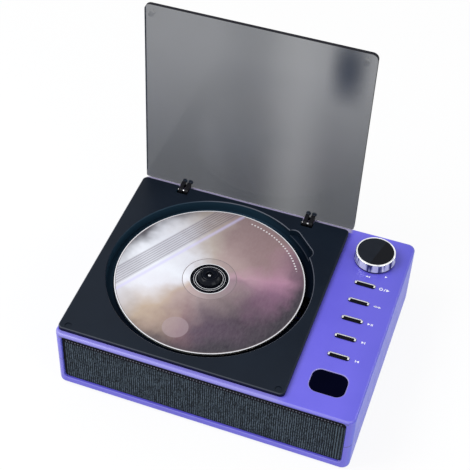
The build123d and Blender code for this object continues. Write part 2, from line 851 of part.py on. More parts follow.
def lid_screws():
    top = lid_underside + lid_thickness - lid_screw_head_height
    shank = top - (pivot_z + lid_lift - prong_foot_thickness - lid_screw_reach)
    return group([opened(screw(lid_screw_radius, lid_screw_head_radius, lid_screw_head_height, shank, x, y,
                               top, upward=False))
                  for x, y in lid_screw_places()])


# ---- control strip ----
def pill(length, width, low, high, y):
    return rounded_block(length, width, width / 2 - 0.01, low, high, control_x, y)


def button_bezels():
    rims = []
    for y in button_ys:
        rim = pill(button_length, button_width, case_height - button_rim_depth,
                   case_height + button_rim_proud, y)
        rim = fillet(rim.faces().sort_by(Axis.Z)[-1].edges(), button_rim_edge_radius)
        rim -= pill(button_length - 2 * button_rim, button_width - 2 * button_rim,
                    case_height - button_rim_depth - 1, case_height + button_rim_proud + 1, y)
        rims.append(rim)
    return group(rims)


def button_cap(y):
    length = button_length - 2 * button_rim - 2 * button_clearance
    width = button_width - 2 * button_rim - 2 * button_clearance
    cap = pill(length, width, ceiling - join, case_height + button_cap_proud, y)
    cap = fillet(cap.faces().sort_by(Axis.Z)[-1].edges(), button_cap_edge_radius)
    cap += pill(length + 2 * button_flange, width + 2 * button_flange, ceiling - button_flange_thickness,
                ceiling, y)
    stem_low = switch_top - button_travel - button_stem_sink
    return cap + post(button_stem_radius, stem_low, ceiling, control_x, y)


def control_board():
    front = window_front - control_board_overhang
    back = encoder_back + control_board_overhang
    board = rounded_block(control_board_width, back - front, board_corner_radius, board_bottom, board_top,
                          control_x, (front + back) / 2)
    for x, y in control_board_screws:
        board -= post(board_screw_radius + screw_hole_clearance, board_bottom - 1, board_top + 1, x, y)
    return board


def tact_switches():
    half = switch_side / 2
    switches = []
    for y in button_ys:
        body = block(control_x - half, control_x + half, y - half, y + half, board_top, switch_top)
        body -= post(switch_bore_radius, board_top + switch_floor, switch_top + 1, control_x, y)
        switches.append(body)
    return group(switches)


def control_board_screw_group():
    return group([screw(board_screw_radius, board_screw_head_radius, board_screw_head_height,
                        board_screw_reach + board_thickness - screw_tip_gap, x, y, board_bottom)
                  for x, y in control_board_screws])


def display_window():
    low = case_height - window_sink - window_thickness
    lens = rounded_block(window_width - 2 * window_clearance, window_depth - 2 * window_clearance,
                         window_radius - window_clearance, low, low + window_thickness, control_x, window_y)
    return chamfer(lens.faces().sort_by(Axis.Z)[-1].edges(), window_rim_chamfer)


def display_module():
    inset = window_ledge + display_margin
    top = case_height - window_sink - window_thickness - display_window_gap
    return rounded_block(window_width - 2 * inset, window_depth - 2 * inset, window_radius - inset,
                         board_top, top, control_x, window_y)


# ---- volume knob ----
def encoder_shaft_top():
    return case_height + knob_height - encoder_shaft_inset


def encoder_body():
    half = encoder_side / 2
    top = board_top + encoder_height
    body = block(control_x - half, control_x + half, knob_y - half, knob_y + half, board_top, top)
    body += post(encoder_collar_radius, top, top + encoder_collar_height, control_x, knob_y)
    bore = encoder_shaft_radius + encoder_shaft_clearance
    return body - post(bore, board_top + encoder_floor, top + encoder_collar_height + 1, control_x, knob_y)


def encoder_shaft():
    shaft = post(encoder_shaft_radius, board_top + encoder_floor + shaft_end_gap, encoder_shaft_top(),
                 control_x, knob_y)
    flat = control_x + encoder_flat
    low = case_height + knob_gap
    return shaft - block(flat, flat + encoder_shaft_radius, knob_y - encoder_shaft_radius,
                         knob_y + encoder_shaft_radius, low, encoder_shaft_top() + 1)


def volume_knob():
    low = case_height + knob_gap
    high = case_height + knob_height
    profile = make_face(Polyline((0, low), (knob_base_radius, low),
                                 (knob_base_radius, low + knob_skirt_height),
                                 (knob_top_radius, high), (0, high), close=True))
    knob = Pos(control_x, knob_y, 0) * revolve(Plane.XZ * profile, Axis.Z)
    knob = fillet(knob.faces().sort_by(Axis.Z)[-1].edges(), knob_edge_radius)
    knob -= post(knob_cap_radius, high - knob_cap_thickness - knob_cap_sink, high + 1, control_x, knob_y)
    web = high - knob_cap_thickness - knob_cap_sink - knob_web
    inner = knob_top_radius - knob_wall
    knob -= ring_cut(inner, knob_hub_radius, low - 1, web, control_x, knob_y)
    bore = post(encoder_shaft_radius, low - 1, encoder_shaft_top(), control_x, knob_y)
    flat = control_x + encoder_flat
    bore -= block(flat, flat + encoder_shaft_radius, knob_y - encoder_shaft_radius,
                  knob_y + encoder_shaft_radius, low - 2, case_height + knob_height)
    return knob - bore


def knob_cap():
    high = case_height + knob_height - knob_cap_sink
    return post(knob_cap_radius, high - knob_cap_thickness, high, control_x, knob_y)


# ---- grille and speakers ----
def grille_cloth():
    return front_panel(grille_width - 2 * grille_clearance, grille_radius - grille_clearance,
                       grille_low + grille_clearance, grille_high - grille_clearance,
                       cloth_front, frame_front)


def grille_frame():
    inset = front_panel(grille_width - 2 * grille_clearance, grille_radius - grille_clearance,
                        grille_low + grille_clearance, grille_high - grille_clearance, frame_front,
                        -inner_half_y + join)
    frame = inset + front_panel(grille_width + 2 * frame_lap, grille_radius, case_wall + frame_edge_gap,
                                grille_high + frame_lap_top, -inner_half_y, frame_back)
    for side in (-1, 1):
        x = side * speaker_x
        frame -= rod_along_y(speaker_cone_radius, -case_half_y, frame_back + 1, x, speaker_height)
        for dx, dz in speaker_screw_offsets():
            frame -= rod_along_y(speaker_screw_radius, frame_back - speaker_screw_reach, frame_back + 1,
                                 x + dx, speaker_height + dz)
        for bar in (-1, 0, 1):
            centre = x + bar * speaker_cone_radius / 2
            frame += block(centre - grille_bar_half_width, centre + grille_bar_half_width, frame_front,
                           frame_front + grille_bar_depth, speaker_height - speaker_cone_radius - 1,
                           speaker_height + speaker_cone_radius + 1)
    slot_half = speaker_x - speaker_flange / 2 - grille_slot_speaker_gap
    for i in range(grille_slot_count):
        x = -slot_half + 2 * slot_half * i / (grille_slot_count - 1)
        frame -= block(x - grille_slot_half_width, x + grille_slot_half_width, -case_half_y, frame_back + 1,
                       speaker_height - grille_slot_half_height, speaker_height + grille_slot_half_height)
    return frame


def speaker_screw_offsets():
    half = speaker_screw_pitch / 2
    return [(dx, dz) for dx in (-half, half) for dz in (-half, half)]


def speaker_place(side):
    """Local +Z is the way the speaker faces, out of the grille."""
    return Pos(side * speaker_x, frame_back, speaker_height) * Rot(90, 0, 0)


def speaker_basket(side):
    depth = speaker_basket_depth
    flange = speaker_flange_thickness
    outer = speaker_cone_radius + speaker_basket_rim
    floor = -depth + speaker_basket_floor
    profile = make_face(Polyline((0, -depth), (speaker_neck_radius, -depth), (outer, -flange), (outer, 0),
                                 (0, 0), close=True))
    basket = revolve(Plane.XZ * profile, Axis.Z)
    plate = RectangleRounded(speaker_flange, speaker_flange, speaker_flange_radius)
    basket += Pos(0, 0, -flange) * extrude(plate, flange)
    wall = speaker_basket_wall
    lap = speaker_cone_radius - speaker_surround_lap
    hollow = make_face(Polyline((0, floor), (speaker_neck_radius - wall, floor), (lap, -flange),
                                (lap, -surround_seat_depth), (speaker_cone_radius, -surround_seat_depth),
                                (speaker_cone_radius, 1), (0, 1),
                                close=True))
    basket -= revolve(Plane.XZ * hollow, Axis.Z)
    for i in range(4):
        window = Rot(0, 0, 45 + 90 * i) * Pos(speaker_cone_radius - 2, 0, -depth / 2 - 1)
        basket -= window * Box(basket_window_depth, basket_window_width, basket_window_height)
    for dx, dz in speaker_screw_offsets():
        basket -= Pos(dx, -dz, -flange) * Cylinder(speaker_screw_radius + screw_hole_clearance, 4 * flange)
    return speaker_place(side) * basket


def speaker_cone(side):
    edge = speaker_cone_radius - cone_gap
    neck = speaker_cone_radius - speaker_surround_lap - cone_step
    seat = -surround_seat_depth
    paper = speaker_paper
    coil = speaker_coil_radius
    deep = -speaker_cone_depth
    coil_low = speaker_basket_floor + coil_floor_gap - speaker_basket_depth
    profile = make_face(Polyline(
        (coil, deep), (neck, seat - paper), (neck, seat), (edge, seat), (edge, -surround_low),
        (neck - cone_step, -surround_low), (coil, deep + 2 * paper), (0, deep + 2 * paper + dust_cap_rise),
        (0, deep + paper + dust_cap_rise), (coil - paper, deep + paper), (coil - paper, coil_low),
        (coil, coil_low), close=True))
    return speaker_place(side) * revolve(Plane.XZ * profile, Axis.Z)


def speaker_magnet(side):
    high = -speaker_basket_depth
    low = high - speaker_magnet_depth
    magnet = Pos(0, 0, (low + high) / 2) * Cylinder(speaker_magnet_radius, speaker_magnet_depth)
    return speaker_place(side) * chamfer(magnet.edges().filter_by(GeomType.CIRCLE), magnet_chamfer)


def speaker_screws():
    pieces = []
    for side in (-1, 1):
        for dx, dz in speaker_screw_offsets():
            shank = speaker_flange_thickness + speaker_screw_reach - speaker_screw_tip_gap
            one = screw(speaker_screw_radius, speaker_screw_head_radius, speaker_screw_head_height, shank,
                        dx, dz, -speaker_flange_thickness)
            pieces.append(speaker_place(side) * one)
    return group(pieces)


# ---- mechanism ----
def mechanism_chassis():
    width = chassis_max_x - chassis_min_x
    depth = chassis_max_y - chassis_min_y
    centre_x = (chassis_min_x + chassis_max_x) / 2
    centre_y = (chassis_min_y + chassis_max_y) / 2
    plate = rounded_block(width, depth, chassis_radius, chassis_low, chassis_top, centre_x, centre_y)
    plate -= block(lens_x - chassis_slot_start, rod_max_x - chassis_slot_end,
                   disc_y - chassis_slot_half_width, disc_y + chassis_slot_half_width,
                   chassis_low - 1, chassis_top + 1)
    for side in (-1, 1):
        y = disc_y + side * rod_offset
        for x in (rod_min_x - rod_post_length, rod_max_x):
            plate += block(x, x + rod_post_length, y - rod_post_half_width, y + rod_post_half_width,
                           chassis_top - join, rod_z + rod_post_half_width)
        plate -= rod_along_x(rod_radius + rod_seat_clearance, rod_min_x - rod_post_length - 1,
                             rod_max_x + rod_post_length + 1, y, rod_z)
    plate += post(gear_pin_radius, chassis_top - join, rod_z + rack_height, drive_gear_x, drive_gear_y)
    plate -= post(spindle_motor_boss_radius + motor_boss_clearance, chassis_low - 1, chassis_top + 1,
                  disc_x, disc_y)
    plate -= post(sled_motor_boss_radius + motor_boss_clearance, chassis_low - 1, chassis_top + 1,
                  motor_pinion_x, drive_gear_y)
    for x, y in damper_places:
        plate -= post(chassis_screw_radius + screw_hole_clearance, chassis_low - 1, chassis_top + 1, x, y)
    return plate


def rubber_dampers():
    low = chassis_low - damper_thickness
    return group([ring_cut(damper_radius, chassis_screw_radius + screw_hole_clearance, low, chassis_low, x, y)
                  for x, y in damper_places])


def chassis_screws():
    shank = chassis_thickness + damper_thickness + chassis_screw_reach - screw_tip_gap
    return group([screw(chassis_screw_radius, chassis_screw_head_radius, chassis_screw_head_height, shank,
                        x, y, chassis_top, upward=False)
                  for x, y in damper_places])


def guide_rods():
    return group([rod_along_x(rod_radius, rod_min_x - rod_post_length, rod_max_x + rod_post_length,
                              disc_y + side * rod_offset, rod_z) for side in (-1, 1)])


def spindle_motor():
    low = chassis_low - spindle_motor_height
    motor = post(spindle_motor_radius, low, chassis_low, disc_x, disc_y)
    motor = chamfer(motor.edges().filter_by(GeomType.CIRCLE), motor_chamfer)
    boss_top = chassis_top + spindle_motor_boss_rise
    motor += post(spindle_motor_boss_radius, chassis_low - join, boss_top, disc_x, disc_y)
    bore = spindle_shaft_radius + spindle_shaft_clearance
    return motor - post(bore, low + motor_floor, boss_top + 1, disc_x, disc_y)


def spindle_shaft():
    """Motor shaft that carries the hub; its rounded tip shows in the hub's recess."""
    low = chassis_low - spindle_motor_height + motor_floor + shaft_end_gap
    shaft = post(spindle_shaft_radius, low, hub_top() - hub_recess_depth + spindle_tip_rise, disc_x, disc_y)
    return fillet(shaft.edges().sort_by(Axis.Z)[-1], spindle_tip_radius)


def hub_top():
    return disc_top + hub_straight + hub_nose_height


def turntable_hub():
    spigot = disc_hole_radius - hub_clearance
    sleeve_low = disc_bottom - turntable_sleeve_length
    rim_low = disc_bottom - turntable_thickness
    straight = disc_top + hub_straight
    profile = make_face(Polyline(
        (0, sleeve_low), (turntable_sleeve_radius, sleeve_low), (turntable_sleeve_radius, rim_low),
        (turntable_radius, rim_low), (turntable_radius, disc_bottom), (spigot, disc_bottom),
        (spigot, straight), (hub_nose_radius, hub_top()), (0, hub_top()), close=True))
    hub = Pos(disc_x, disc_y, 0) * revolve(Plane.XZ * profile, Axis.Z)
    hub -= post(hub_recess_radius, hub_top() - hub_recess_depth, hub_top() + 1, disc_x, disc_y)
    hub -= post(spindle_shaft_radius, sleeve_low - 1, hub_top() + 1, disc_x, disc_y)
    for x, y in chuck_ball_places():
        hub -= Pos(x, y, disc_top + chuck_ball_radius) * Sphere(chuck_ball_radius)
    return hub


def chuck_ball_places():
    reach = disc_hole_radius - hub_clearance - chuck_ball_radius - chuck_ball_sink
    return [(disc_x + reach * cos(2 * pi * i / chuck_ball_count + pi / 6),
             disc_y + reach * sin(2 * pi * i / chuck_ball_count + pi / 6)) for i in range(chuck_ball_count)]


def chuck_balls():
    return group([Pos(x, y, disc_top + chuck_ball_radius) * Sphere(chuck_ball_radius - chuck_ball_clearance)
                  for x, y in chuck_ball_places()])


def disc():
    plate = post(disc_radius, disc_bottom, disc_top, disc_x, disc_y)
    plate -= post(disc_hole_radius, disc_bottom - 1, disc_top + 1, disc_x, disc_y)
    plate += ring_cut(disc_ring_radius, disc_ring_radius - disc_ring_width, disc_bottom - disc_ring_height,
                      disc_bottom + join, disc_x, disc_y)
    return plate


# ---- optical pickup ----
def pickup_sled():
    half = sled_length / 2
    sled = block(lens_x - half, lens_x + half, disc_y - sled_half_width, disc_y + sled_half_width, sled_low,
                 sled_high)
    sled = fillet(sled.edges().filter_by(Axis.Z), sled_corner_radius)
    lug = disc_y + rod_offset
    sled += block(lens_x - half, lens_x + half, disc_y + sled_half_width - 2, lug + sled_lug_half_width,
                  sled_low, sled_high)
    sled -= rod_along_x(rod_radius + rod_slide_clearance, lens_x - half - 1, lens_x + half + 1, lug, rod_z)
    fork = disc_y - rod_offset
    fork_reach = rod_radius + rod_slide_clearance
    for z in (rod_z - fork_reach - fork_thickness, rod_z + fork_reach):
        sled += block(lens_x - half / 2, lens_x + half / 2, fork - fork_tip, disc_y - sled_half_width + 1,
                      z, z + fork_thickness)
    sled += block(lens_x - lens_housing_back, lens_x + lens_housing_front, disc_y - lens_housing_half_width,
                  disc_y + lens_housing_half_width, sled_high - join, housing_top)
    bore = lens_holder_radius + lens_holder_clearance
    floor = lens_top - lens_holder_depth - lens_focus_travel - lens_well_gap
    sled -= post(bore, floor, housing_top + 1, lens_x, disc_y)
    return sled + sled_rack()


def sled_rack():
    """Straight toothed bar on the sled's guide lug, in mesh with the drive gear."""
    back = disc_y + rod_offset + sled_lug_half_width
    left = lens_x + pickup_travel - drive_gear_x + rack_margin
    right = drive_gear_x - lens_x + rack_margin
    low = rod_z - rack_height / 2
    high = rod_z + rack_height / 2
    face = back + rack_plate_thickness - 0.6 * gear_module
    rack = block(lens_x - left, lens_x + right, back - join, face, low, high)
    pitch = pi * gear_module
    half_tooth = pitch / 4 * (1 - gear_play)
    root = face - 0.1 * gear_module
    tip = rack_pitch_y + 0.85 * gear_module
    points = [(-1.45 * half_tooth, root), (-0.55 * half_tooth, tip), (0.55 * half_tooth, tip),
              (1.45 * half_tooth, root)]
    tooth = extrude(make_face(Polyline(*points, close=True)), rack_height)
    first = -int((left - 1 + drive_gear_x - lens_x) / pitch)
    last = int((right - 1 - drive_gear_x + lens_x) / pitch)
    for i in range(first, last + 1):
        rack += Pos(drive_gear_x + i * pitch, 0, low) * tooth
    return rack


def pickup_lens():
    base = lens_top - lens_holder_depth
    holder = post(lens_holder_radius, base, lens_top - lens_dome_height, lens_x, disc_y)
    dome = scale(Sphere(lens_radius), by=(1, 1, lens_dome_height / lens_radius))
    return holder + Pos(lens_x, disc_y, lens_top - lens_dome_height) * dome


def drive_gear():
    wheel = gear(large_gear_teeth, 180 / large_gear_teeth, large_gear_low, large_gear_high, drive_gear_x,
                 drive_gear_y)
    wheel += gear(drive_gear_teeth, -90 + 180 / drive_gear_teeth, large_gear_high - join,
                  rod_z + rack_height / 2, drive_gear_x, drive_gear_y)
    return wheel - post(gear_pin_radius + gear_bore_clearance, large_gear_low - 1, rod_z + rack_height,
                        drive_gear_x, drive_gear_y)


def motor_pinion():
    low = chassis_top + pinion_low_gap
    wheel = gear(motor_pinion_teeth, 180, low, low + pinion_thickness, motor_pinion_x, drive_gear_y)
    shaft_low = chassis_low - sled_motor_height + motor_floor + shaft_end_gap
    return wheel + post(sled_motor_shaft_radius, shaft_low, low + pinion_thickness + pinion_shaft_rise,
                        motor_pinion_x, drive_gear_y)


def sled_motor():
    low = chassis_low - sled_motor_height
    motor = post(sled_motor_radius, low, chassis_low, motor_pinion_x, drive_gear_y)
    motor = chamfer(motor.edges().filter_by(GeomType.CIRCLE), motor_chamfer)
    motor += post(sled_motor_boss_radius, chassis_low - join, chassis_top, motor_pinion_x, drive_gear_y)
    return motor - post(sled_motor_shaft_radius + spindle_shaft_clearance, low + motor_floor, chassis_top + 1,
                        motor_pinion_x, drive_gear_y)


# ---- electronics ----
def main_board():
    left = main_board_x - main_board_width / 2
    right = main_board_x + main_board_width / 2
    board = block(left, right, main_board_front, main_board_back, main_board_height, main_board_top)
    board = fillet(board.edges().filter_by(Axis.Z), board_corner_radius)
    for x, y in main_board_screws:
        board -= post(board_screw_radius + screw_hole_clearance, main_board_height - 1, main_board_top + 1,
                      x, y)
    for i, side in enumerate(chip_sides):
        y = main_board_front + chip_first_inset + chip_pitch * i
        board += block(main_board_x - side / 2, main_board_x + side / 2, y - side / 2, y + side / 2,
                       main_board_top - join, main_board_top + chip_height)
    for x in (main_board_x - capacitor_offset, main_board_x + capacitor_offset):
        board += post(capacitor_radius, main_board_top - join, main_board_top + capacitor_height, x,
                      main_board_back - capacitor_inset)
    return board


def main_board_screw_group():
    shank = board_thickness + board_screw_reach - screw_tip_gap
    return group([screw(board_screw_radius, board_screw_head_radius, board_screw_head_height, shank, x, y,
                        main_board_top, upward=False)
                  for x, y in main_board_screws])


def usb_socket():
    radius = usb_height / 2 - 0.05
    shell = extrude(RectangleRounded(usb_width, usb_height, radius), usb_length)
    inner = RectangleRounded(usb_width - 2 * usb_shell, usb_height - 2 * usb_shell, radius - usb_shell)
    shell -= extrude(inner, usb_length - usb_back_wall)
    tongue_length = usb_length - usb_tongue_sink
    tongue = Box(usb_width - 2 * usb_tongue_margin, usb_tongue, tongue_length)
    shell += Pos(0, 0, usb_tongue_sink + tongue_length / 2) * tongue
    return Pos(usb_x, case_half_y - usb_face_sink, main_board_top + usb_height / 2) * Rot(90, 0, 0) * shell


def headphone_jack():
    half = jack_side / 2
    z = main_board_top + half
    back = inner_half_y - jack_wall_gap
    front = back - jack_length
    body = block(jack_x - half, jack_x + half, front, back, main_board_top, main_board_top + jack_side)
    mouth = case_half_y - jack_collar_sink
    body += rod_along_y(jack_collar_radius, back - join, mouth, jack_x, z)
    return body - rod_along_y(jack_bore_radius, mouth - jack_bore_depth, mouth + 1, jack_x, z)


def battery_pack():
    """Two round cells side by side in a shrink wrap."""
    radius = cell_radius + battery_wrap
    pack = None
    for side in (-1, 1):
        cell = rod_along_y(radius, battery_y - cell_length / 2, battery_y + cell_length / 2,
                           battery_x + side * cell_radius, case_wall + radius)
        pack = cell if pack is None else pack + cell
    return pack + block(battery_x - cell_radius, battery_x + cell_radius, battery_y - cell_length / 2,
                        battery_y + cell_length / 2, case_wall, case_wall + 2 * radius)


# ---- every sub-part to its own file ----
parts = {
    "upper_case": upper_case(),
    "lower_case": lower_case(),
    "case_screws": case_screws(),
    "rubber_feet": rubber_feet(),
    "deck_plate": deck_plate(),
    "deck_screws": deck_screws(),
    "lid_panel": lid_panel(),
    "lid_bumpers": lid_bumpers(),
    "hinge_arm_left": hinge_arm(hinge_places[0]),
    "hinge_arm_right": hinge_arm(hinge_places[1]),
    "hinge_pins": hinge_pins(),
    "lid_screws": lid_screws(),
    "button_bezels": button_bezels(),
    "control_board": control_board(),
    "control_board_screws": control_board_screw_group(),
    "tact_switches": tact_switches(),
    "display_window": display_window(),
    "display_module": display_module(),
    "encoder_body": encoder_body(),
    "encoder_shaft": encoder_shaft(),
    "volume_knob": volume_knob(),
    "knob_cap": knob_cap(),
    "grille_cloth": grille_cloth(),
    "grille_frame": grille_frame(),
    "speaker_screws": speaker_screws(),
    "mechanism_chassis": mechanism_chassis(),
    "rubber_dampers": rubber_dampers(),
    "chassis_screws": chassis_screws(),
    "guide_rods": guide_rods(),
    "spindle_motor": spindle_motor(),
    "spindle_shaft": spindle_shaft(),
    "turntable_hub": turntable_hub(),
    "chuck_balls": chuck_balls(),
    "disc": disc(),
    "pickup_sled": pickup_sled(),
    "pickup_lens": pickup_lens(),
    "drive_gear": drive_gear(),
    "motor_pinion": motor_pinion(),
    "sled_motor": sled_motor(),
    "main_board": main_board(),
    "main_board_screws": main_board_screw_group(),
    "usb_socket": usb_socket(),
    "headphone_jack": headphone_jack(),
    "battery_pack": battery_pack(),
}
for name, y in zip(button_names, button_ys):
    parts[name] = button_cap(y)
for name, side in (("left", -1), ("right", 1)):
    parts["speaker_basket_" + name] = speaker_basket(side)
    parts["speaker_cone_" + name] = speaker_cone(side)
    parts["speaker_magnet_" + name] = speaker_magnet(side)

os.makedirs("parts", exist_ok=True)
for name, shape in parts.items():
    export_step(shape, f"parts/{name}.step")
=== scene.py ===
"""Looks for a disc player with a flip-up smoked lid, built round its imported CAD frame. Metres; +Z up."""

import json
import math
import random

import bmesh
import bpy
from mathutils import Matrix, Vector


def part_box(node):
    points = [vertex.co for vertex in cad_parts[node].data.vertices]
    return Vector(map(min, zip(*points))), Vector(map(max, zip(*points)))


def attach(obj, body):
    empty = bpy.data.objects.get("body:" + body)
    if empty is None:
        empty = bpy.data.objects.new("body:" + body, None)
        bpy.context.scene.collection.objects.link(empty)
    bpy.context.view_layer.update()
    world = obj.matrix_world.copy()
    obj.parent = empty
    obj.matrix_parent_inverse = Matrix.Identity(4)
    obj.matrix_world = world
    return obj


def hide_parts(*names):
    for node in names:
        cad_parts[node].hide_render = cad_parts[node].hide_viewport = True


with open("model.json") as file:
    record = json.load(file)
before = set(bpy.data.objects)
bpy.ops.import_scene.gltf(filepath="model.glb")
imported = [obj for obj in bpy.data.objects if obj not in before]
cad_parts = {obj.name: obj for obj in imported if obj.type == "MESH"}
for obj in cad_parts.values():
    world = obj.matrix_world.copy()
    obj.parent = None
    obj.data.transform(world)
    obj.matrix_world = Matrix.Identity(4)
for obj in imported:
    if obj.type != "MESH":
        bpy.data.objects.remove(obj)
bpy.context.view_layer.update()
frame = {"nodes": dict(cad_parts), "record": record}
nodes = frame["nodes"]
MM = 0.001

# ---- camera ----
IMAGE_SIZE = 470
SENSOR = 36.0
FOCAL_PIXELS = 1240.64
SHIFT_PIXELS = (64.97, -14.26)
AZIMUTH = math.radians(21.8)
ELEVATION = math.radians(45.73)
ROLL = math.radians(-0.69)
CAMERA_PLACE = Vector((148.22, -486.78, 626.83)) * MM
CLIP_RANGE = (0.01, 20)


def make_camera():
    back = Vector((math.sin(AZIMUTH) * math.cos(ELEVATION), -math.cos(AZIMUTH) * math.cos(ELEVATION),
                   math.sin(ELEVATION)))
    right = Vector((math.cos(AZIMUTH), math.sin(AZIMUTH), 0))
    up = back.cross(right)
    rolled_right = right * math.cos(ROLL) + up * math.sin(ROLL)
    rolled_up = up * math.cos(ROLL) - right * math.sin(ROLL)
    data = bpy.data.cameras.new("camera")
    data.sensor_width = SENSOR
    data.lens = FOCAL_PIXELS * SENSOR / IMAGE_SIZE
    data.shift_x = SHIFT_PIXELS[0] / IMAGE_SIZE
    data.shift_y = SHIFT_PIXELS[1] / IMAGE_SIZE
    data.clip_start, data.clip_end = CLIP_RANGE
    camera = bpy.data.objects.new("camera", data)
    bpy.context.collection.objects.link(camera)
    axes = Matrix((rolled_right, rolled_up, back)).transposed()
    camera.matrix_world = Matrix.Translation(CAMERA_PLACE) @ axes.to_4x4()
    bpy.context.scene.camera = camera


make_camera()

# ---- sizes taken from the frame ----
case_low, case_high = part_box("lower_case")[0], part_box("upper_case")[1]
CASE_TOP = case_high[2]
CASE_FRONT = case_low[1]
disc_low, disc_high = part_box("disc")
DISC = Vector(((disc_low[0] + disc_high[0]) / 2, (disc_low[1] + disc_high[1]) / 2, 0))
DISC_RADIUS = (disc_high[0] - disc_low[0]) / 2
DISC_TOP = disc_high[2]
DISC_BOTTOM = disc_low[2] + 0.15 * MM
hub_low, hub_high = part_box("turntable_hub")
cloth_low, cloth_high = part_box("grille_cloth")
HEM_SHADED = 1.1 * (cloth_low[1] - CASE_FRONT)
HEM_LOW = cloth_high[2] - HEM_SHADED - 3.7 * MM
feet_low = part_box("rubber_feet")[0]
knob_low, knob_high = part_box("volume_knob")
deck_low, deck_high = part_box("deck_plate")
DECK_BACK = deck_high[1]
DECK_RIM = 6.65 * MM
WELL_RADIUS = (deck_high[0] - deck_low[0]) / 2 - DECK_RIM
LID_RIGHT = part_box("lid_panel")[1][0]
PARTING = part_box("upper_case")[0][2]
window_low, window_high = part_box("display_window")
WINDOW = [(window_low[0] + window_high[0]) / 2, (window_low[1] + window_high[1]) / 2,
          (window_high[0] - window_low[0]) / 2, (window_high[1] - window_low[1]) / 2]
WINDOW_CORNER = 5.4 * MM
CONTROL_X = (knob_low[0] + knob_high[0]) / 2
KNOB_Y = (knob_low[1] + knob_high[1]) / 2
BUTTON_NAMES = ("power_button", "repeat_button", "play_button", "next_button", "previous_button")
button_boxes = [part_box(name) for name in BUTTON_NAMES]
BUTTON_ROWS = [(low[1] + high[1]) / 2 for low, high in button_boxes]
BUTTON_PITCH = BUTTON_ROWS[0] - BUTTON_ROWS[1]
bezel_low, bezel_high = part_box("button_bezels")
BUTTON_REACH = (bezel_high[0] - bezel_low[0]) / 2


# ---- material building ----
def add(tree, kind, settings=None, **inputs):
    """A shader node. Its inputs go by name, with underscores for spaces, or by number as i0, i1 and so on."""
    node = tree.nodes.new("ShaderNode" + kind)
    for key, value in (settings or {}).items():
        setattr(node, key, value)
    for key, value in inputs.items():
        by_number = key[0] == "i" and key[1:].isdigit()
        socket = node.inputs[int(key[1:]) if by_number else key.replace("_", " ")]
        if isinstance(value, bpy.types.NodeSocket):
            tree.links.new(value, socket)
        else:
            socket.default_value = value
    return node


def rgba(colour):
    return (*colour, 1.0)


def material(name, colour, roughness, **sockets):
    """Principled material; the values that are the same all over sit on the shader's own sockets."""
    made = bpy.data.materials.new(name)
    made.use_nodes = True
    shader = made.node_tree.nodes["Principled BSDF"]
    shader.inputs["Base Color"].default_value = rgba(colour)
    shader.inputs["Roughness"].default_value = roughness
    for key, value in sockets.items():
        shader.inputs[key.replace("_", " ")].default_value = value
    return made


def shader_of(made):
    return made.node_tree.nodes["Principled BSDF"]


def object_place(tree, stretch=(1, 1, 1)):
    coordinates = add(tree, "TexCoord").outputs["Object"]
    return add(tree, "Mapping", Vector=coordinates, Scale=stretch).outputs["Vector"]


def noise(tree, size, detail=3.0, stretch=(1, 1, 1), roughness=0.55):
    """Noise whose features are about size metres wide."""
    return add(tree, "TexNoise", Vector=object_place(tree, stretch), Scale=1 / size, Detail=detail,
               Roughness=roughness).outputs["Fac"]


def ramp(tree, fac, stops):
    node = add(tree, "ValToRGB", Fac=fac)
    elements = node.color_ramp.elements
    while len(elements) < len(stops):
        elements.new(0.5)
    for element, (position, colour) in zip(elements, stops):
        element.position = position
        element.color = rgba(colour)
    return node.outputs["Color"]


NOISE_SPAN = (0.25, 0.75)


def between(tree, value, low, high):
    """A noise value's usual span, mapped to the range low to high."""
    return add(tree, "MapRange", Value=value, From_Min=NOISE_SPAN[0], From_Max=NOISE_SPAN[1], To_Min=low,
               To_Max=high).outputs["Result"]


def two_tones(tree, fac, first, second):
    return ramp(tree, fac, [(0.3, first), (0.7, second)])


def linked(made, socket, value):
    """Lets a node's output drive one of the shader's sockets."""
    made.node_tree.links.new(value, shader_of(made).inputs[socket])


def colour_link(made, colour):
    linked(made, "Base Color", colour)


def colour_source(made):
    """The node output that drives the shader's colour."""
    return shader_of(made).inputs["Base Color"].links[0].from_socket


def colour_varied(made, fac, first, second):
    colour_link(made, two_tones(made.node_tree, fac, first, second))


def roughness_varied(made, fac, low, high):
    linked(made, "Roughness", between(made.node_tree, fac, low, high))


def bumped(made, height, distance):
    node = add(made.node_tree, "Bump", Height=height, Distance=distance, Strength=1.0)
    linked(made, "Normal", node.outputs["Normal"])


def moulded(name, colour, other, roughness, spread=0.06, grain=0.25 * MM, depth=0.012 * MM, **sockets):
    """Plastic with faint unevenness in its colour and gloss, and a fine moulded grain."""
    made = material(name, colour, roughness, **sockets)
    tree = made.node_tree
    broad = noise(tree, 30 * MM)
    fine = noise(tree, grain, detail=2)
    colour_varied(made, broad, colour, other)
    roughness_varied(made, noise(tree, 8 * MM, detail=4), roughness - spread, roughness + spread)
    bumped(made, fine, depth)
    return made


BRUSHED_SPREAD = 0.08


def brushed(name, colour, other, roughness, stretch=(1, 1, 1)):
    """Metal with fine drawn lines."""
    made = material(name, colour, roughness, Metallic=1.0)
    tree = made.node_tree
    lines = noise(tree, 0.6 * MM, detail=3, stretch=stretch)
    colour_varied(made, noise(tree, 6 * MM), colour, other)
    roughness_varied(made, lines, max(0.02, roughness - BRUSHED_SPREAD), roughness + BRUSHED_SPREAD)
    bumped(made, lines, 0.004 * MM)
    return made


PIN_MARGIN = 0.2 * MM
PIN_SHADE = (0.003, 0.003, 0.004)


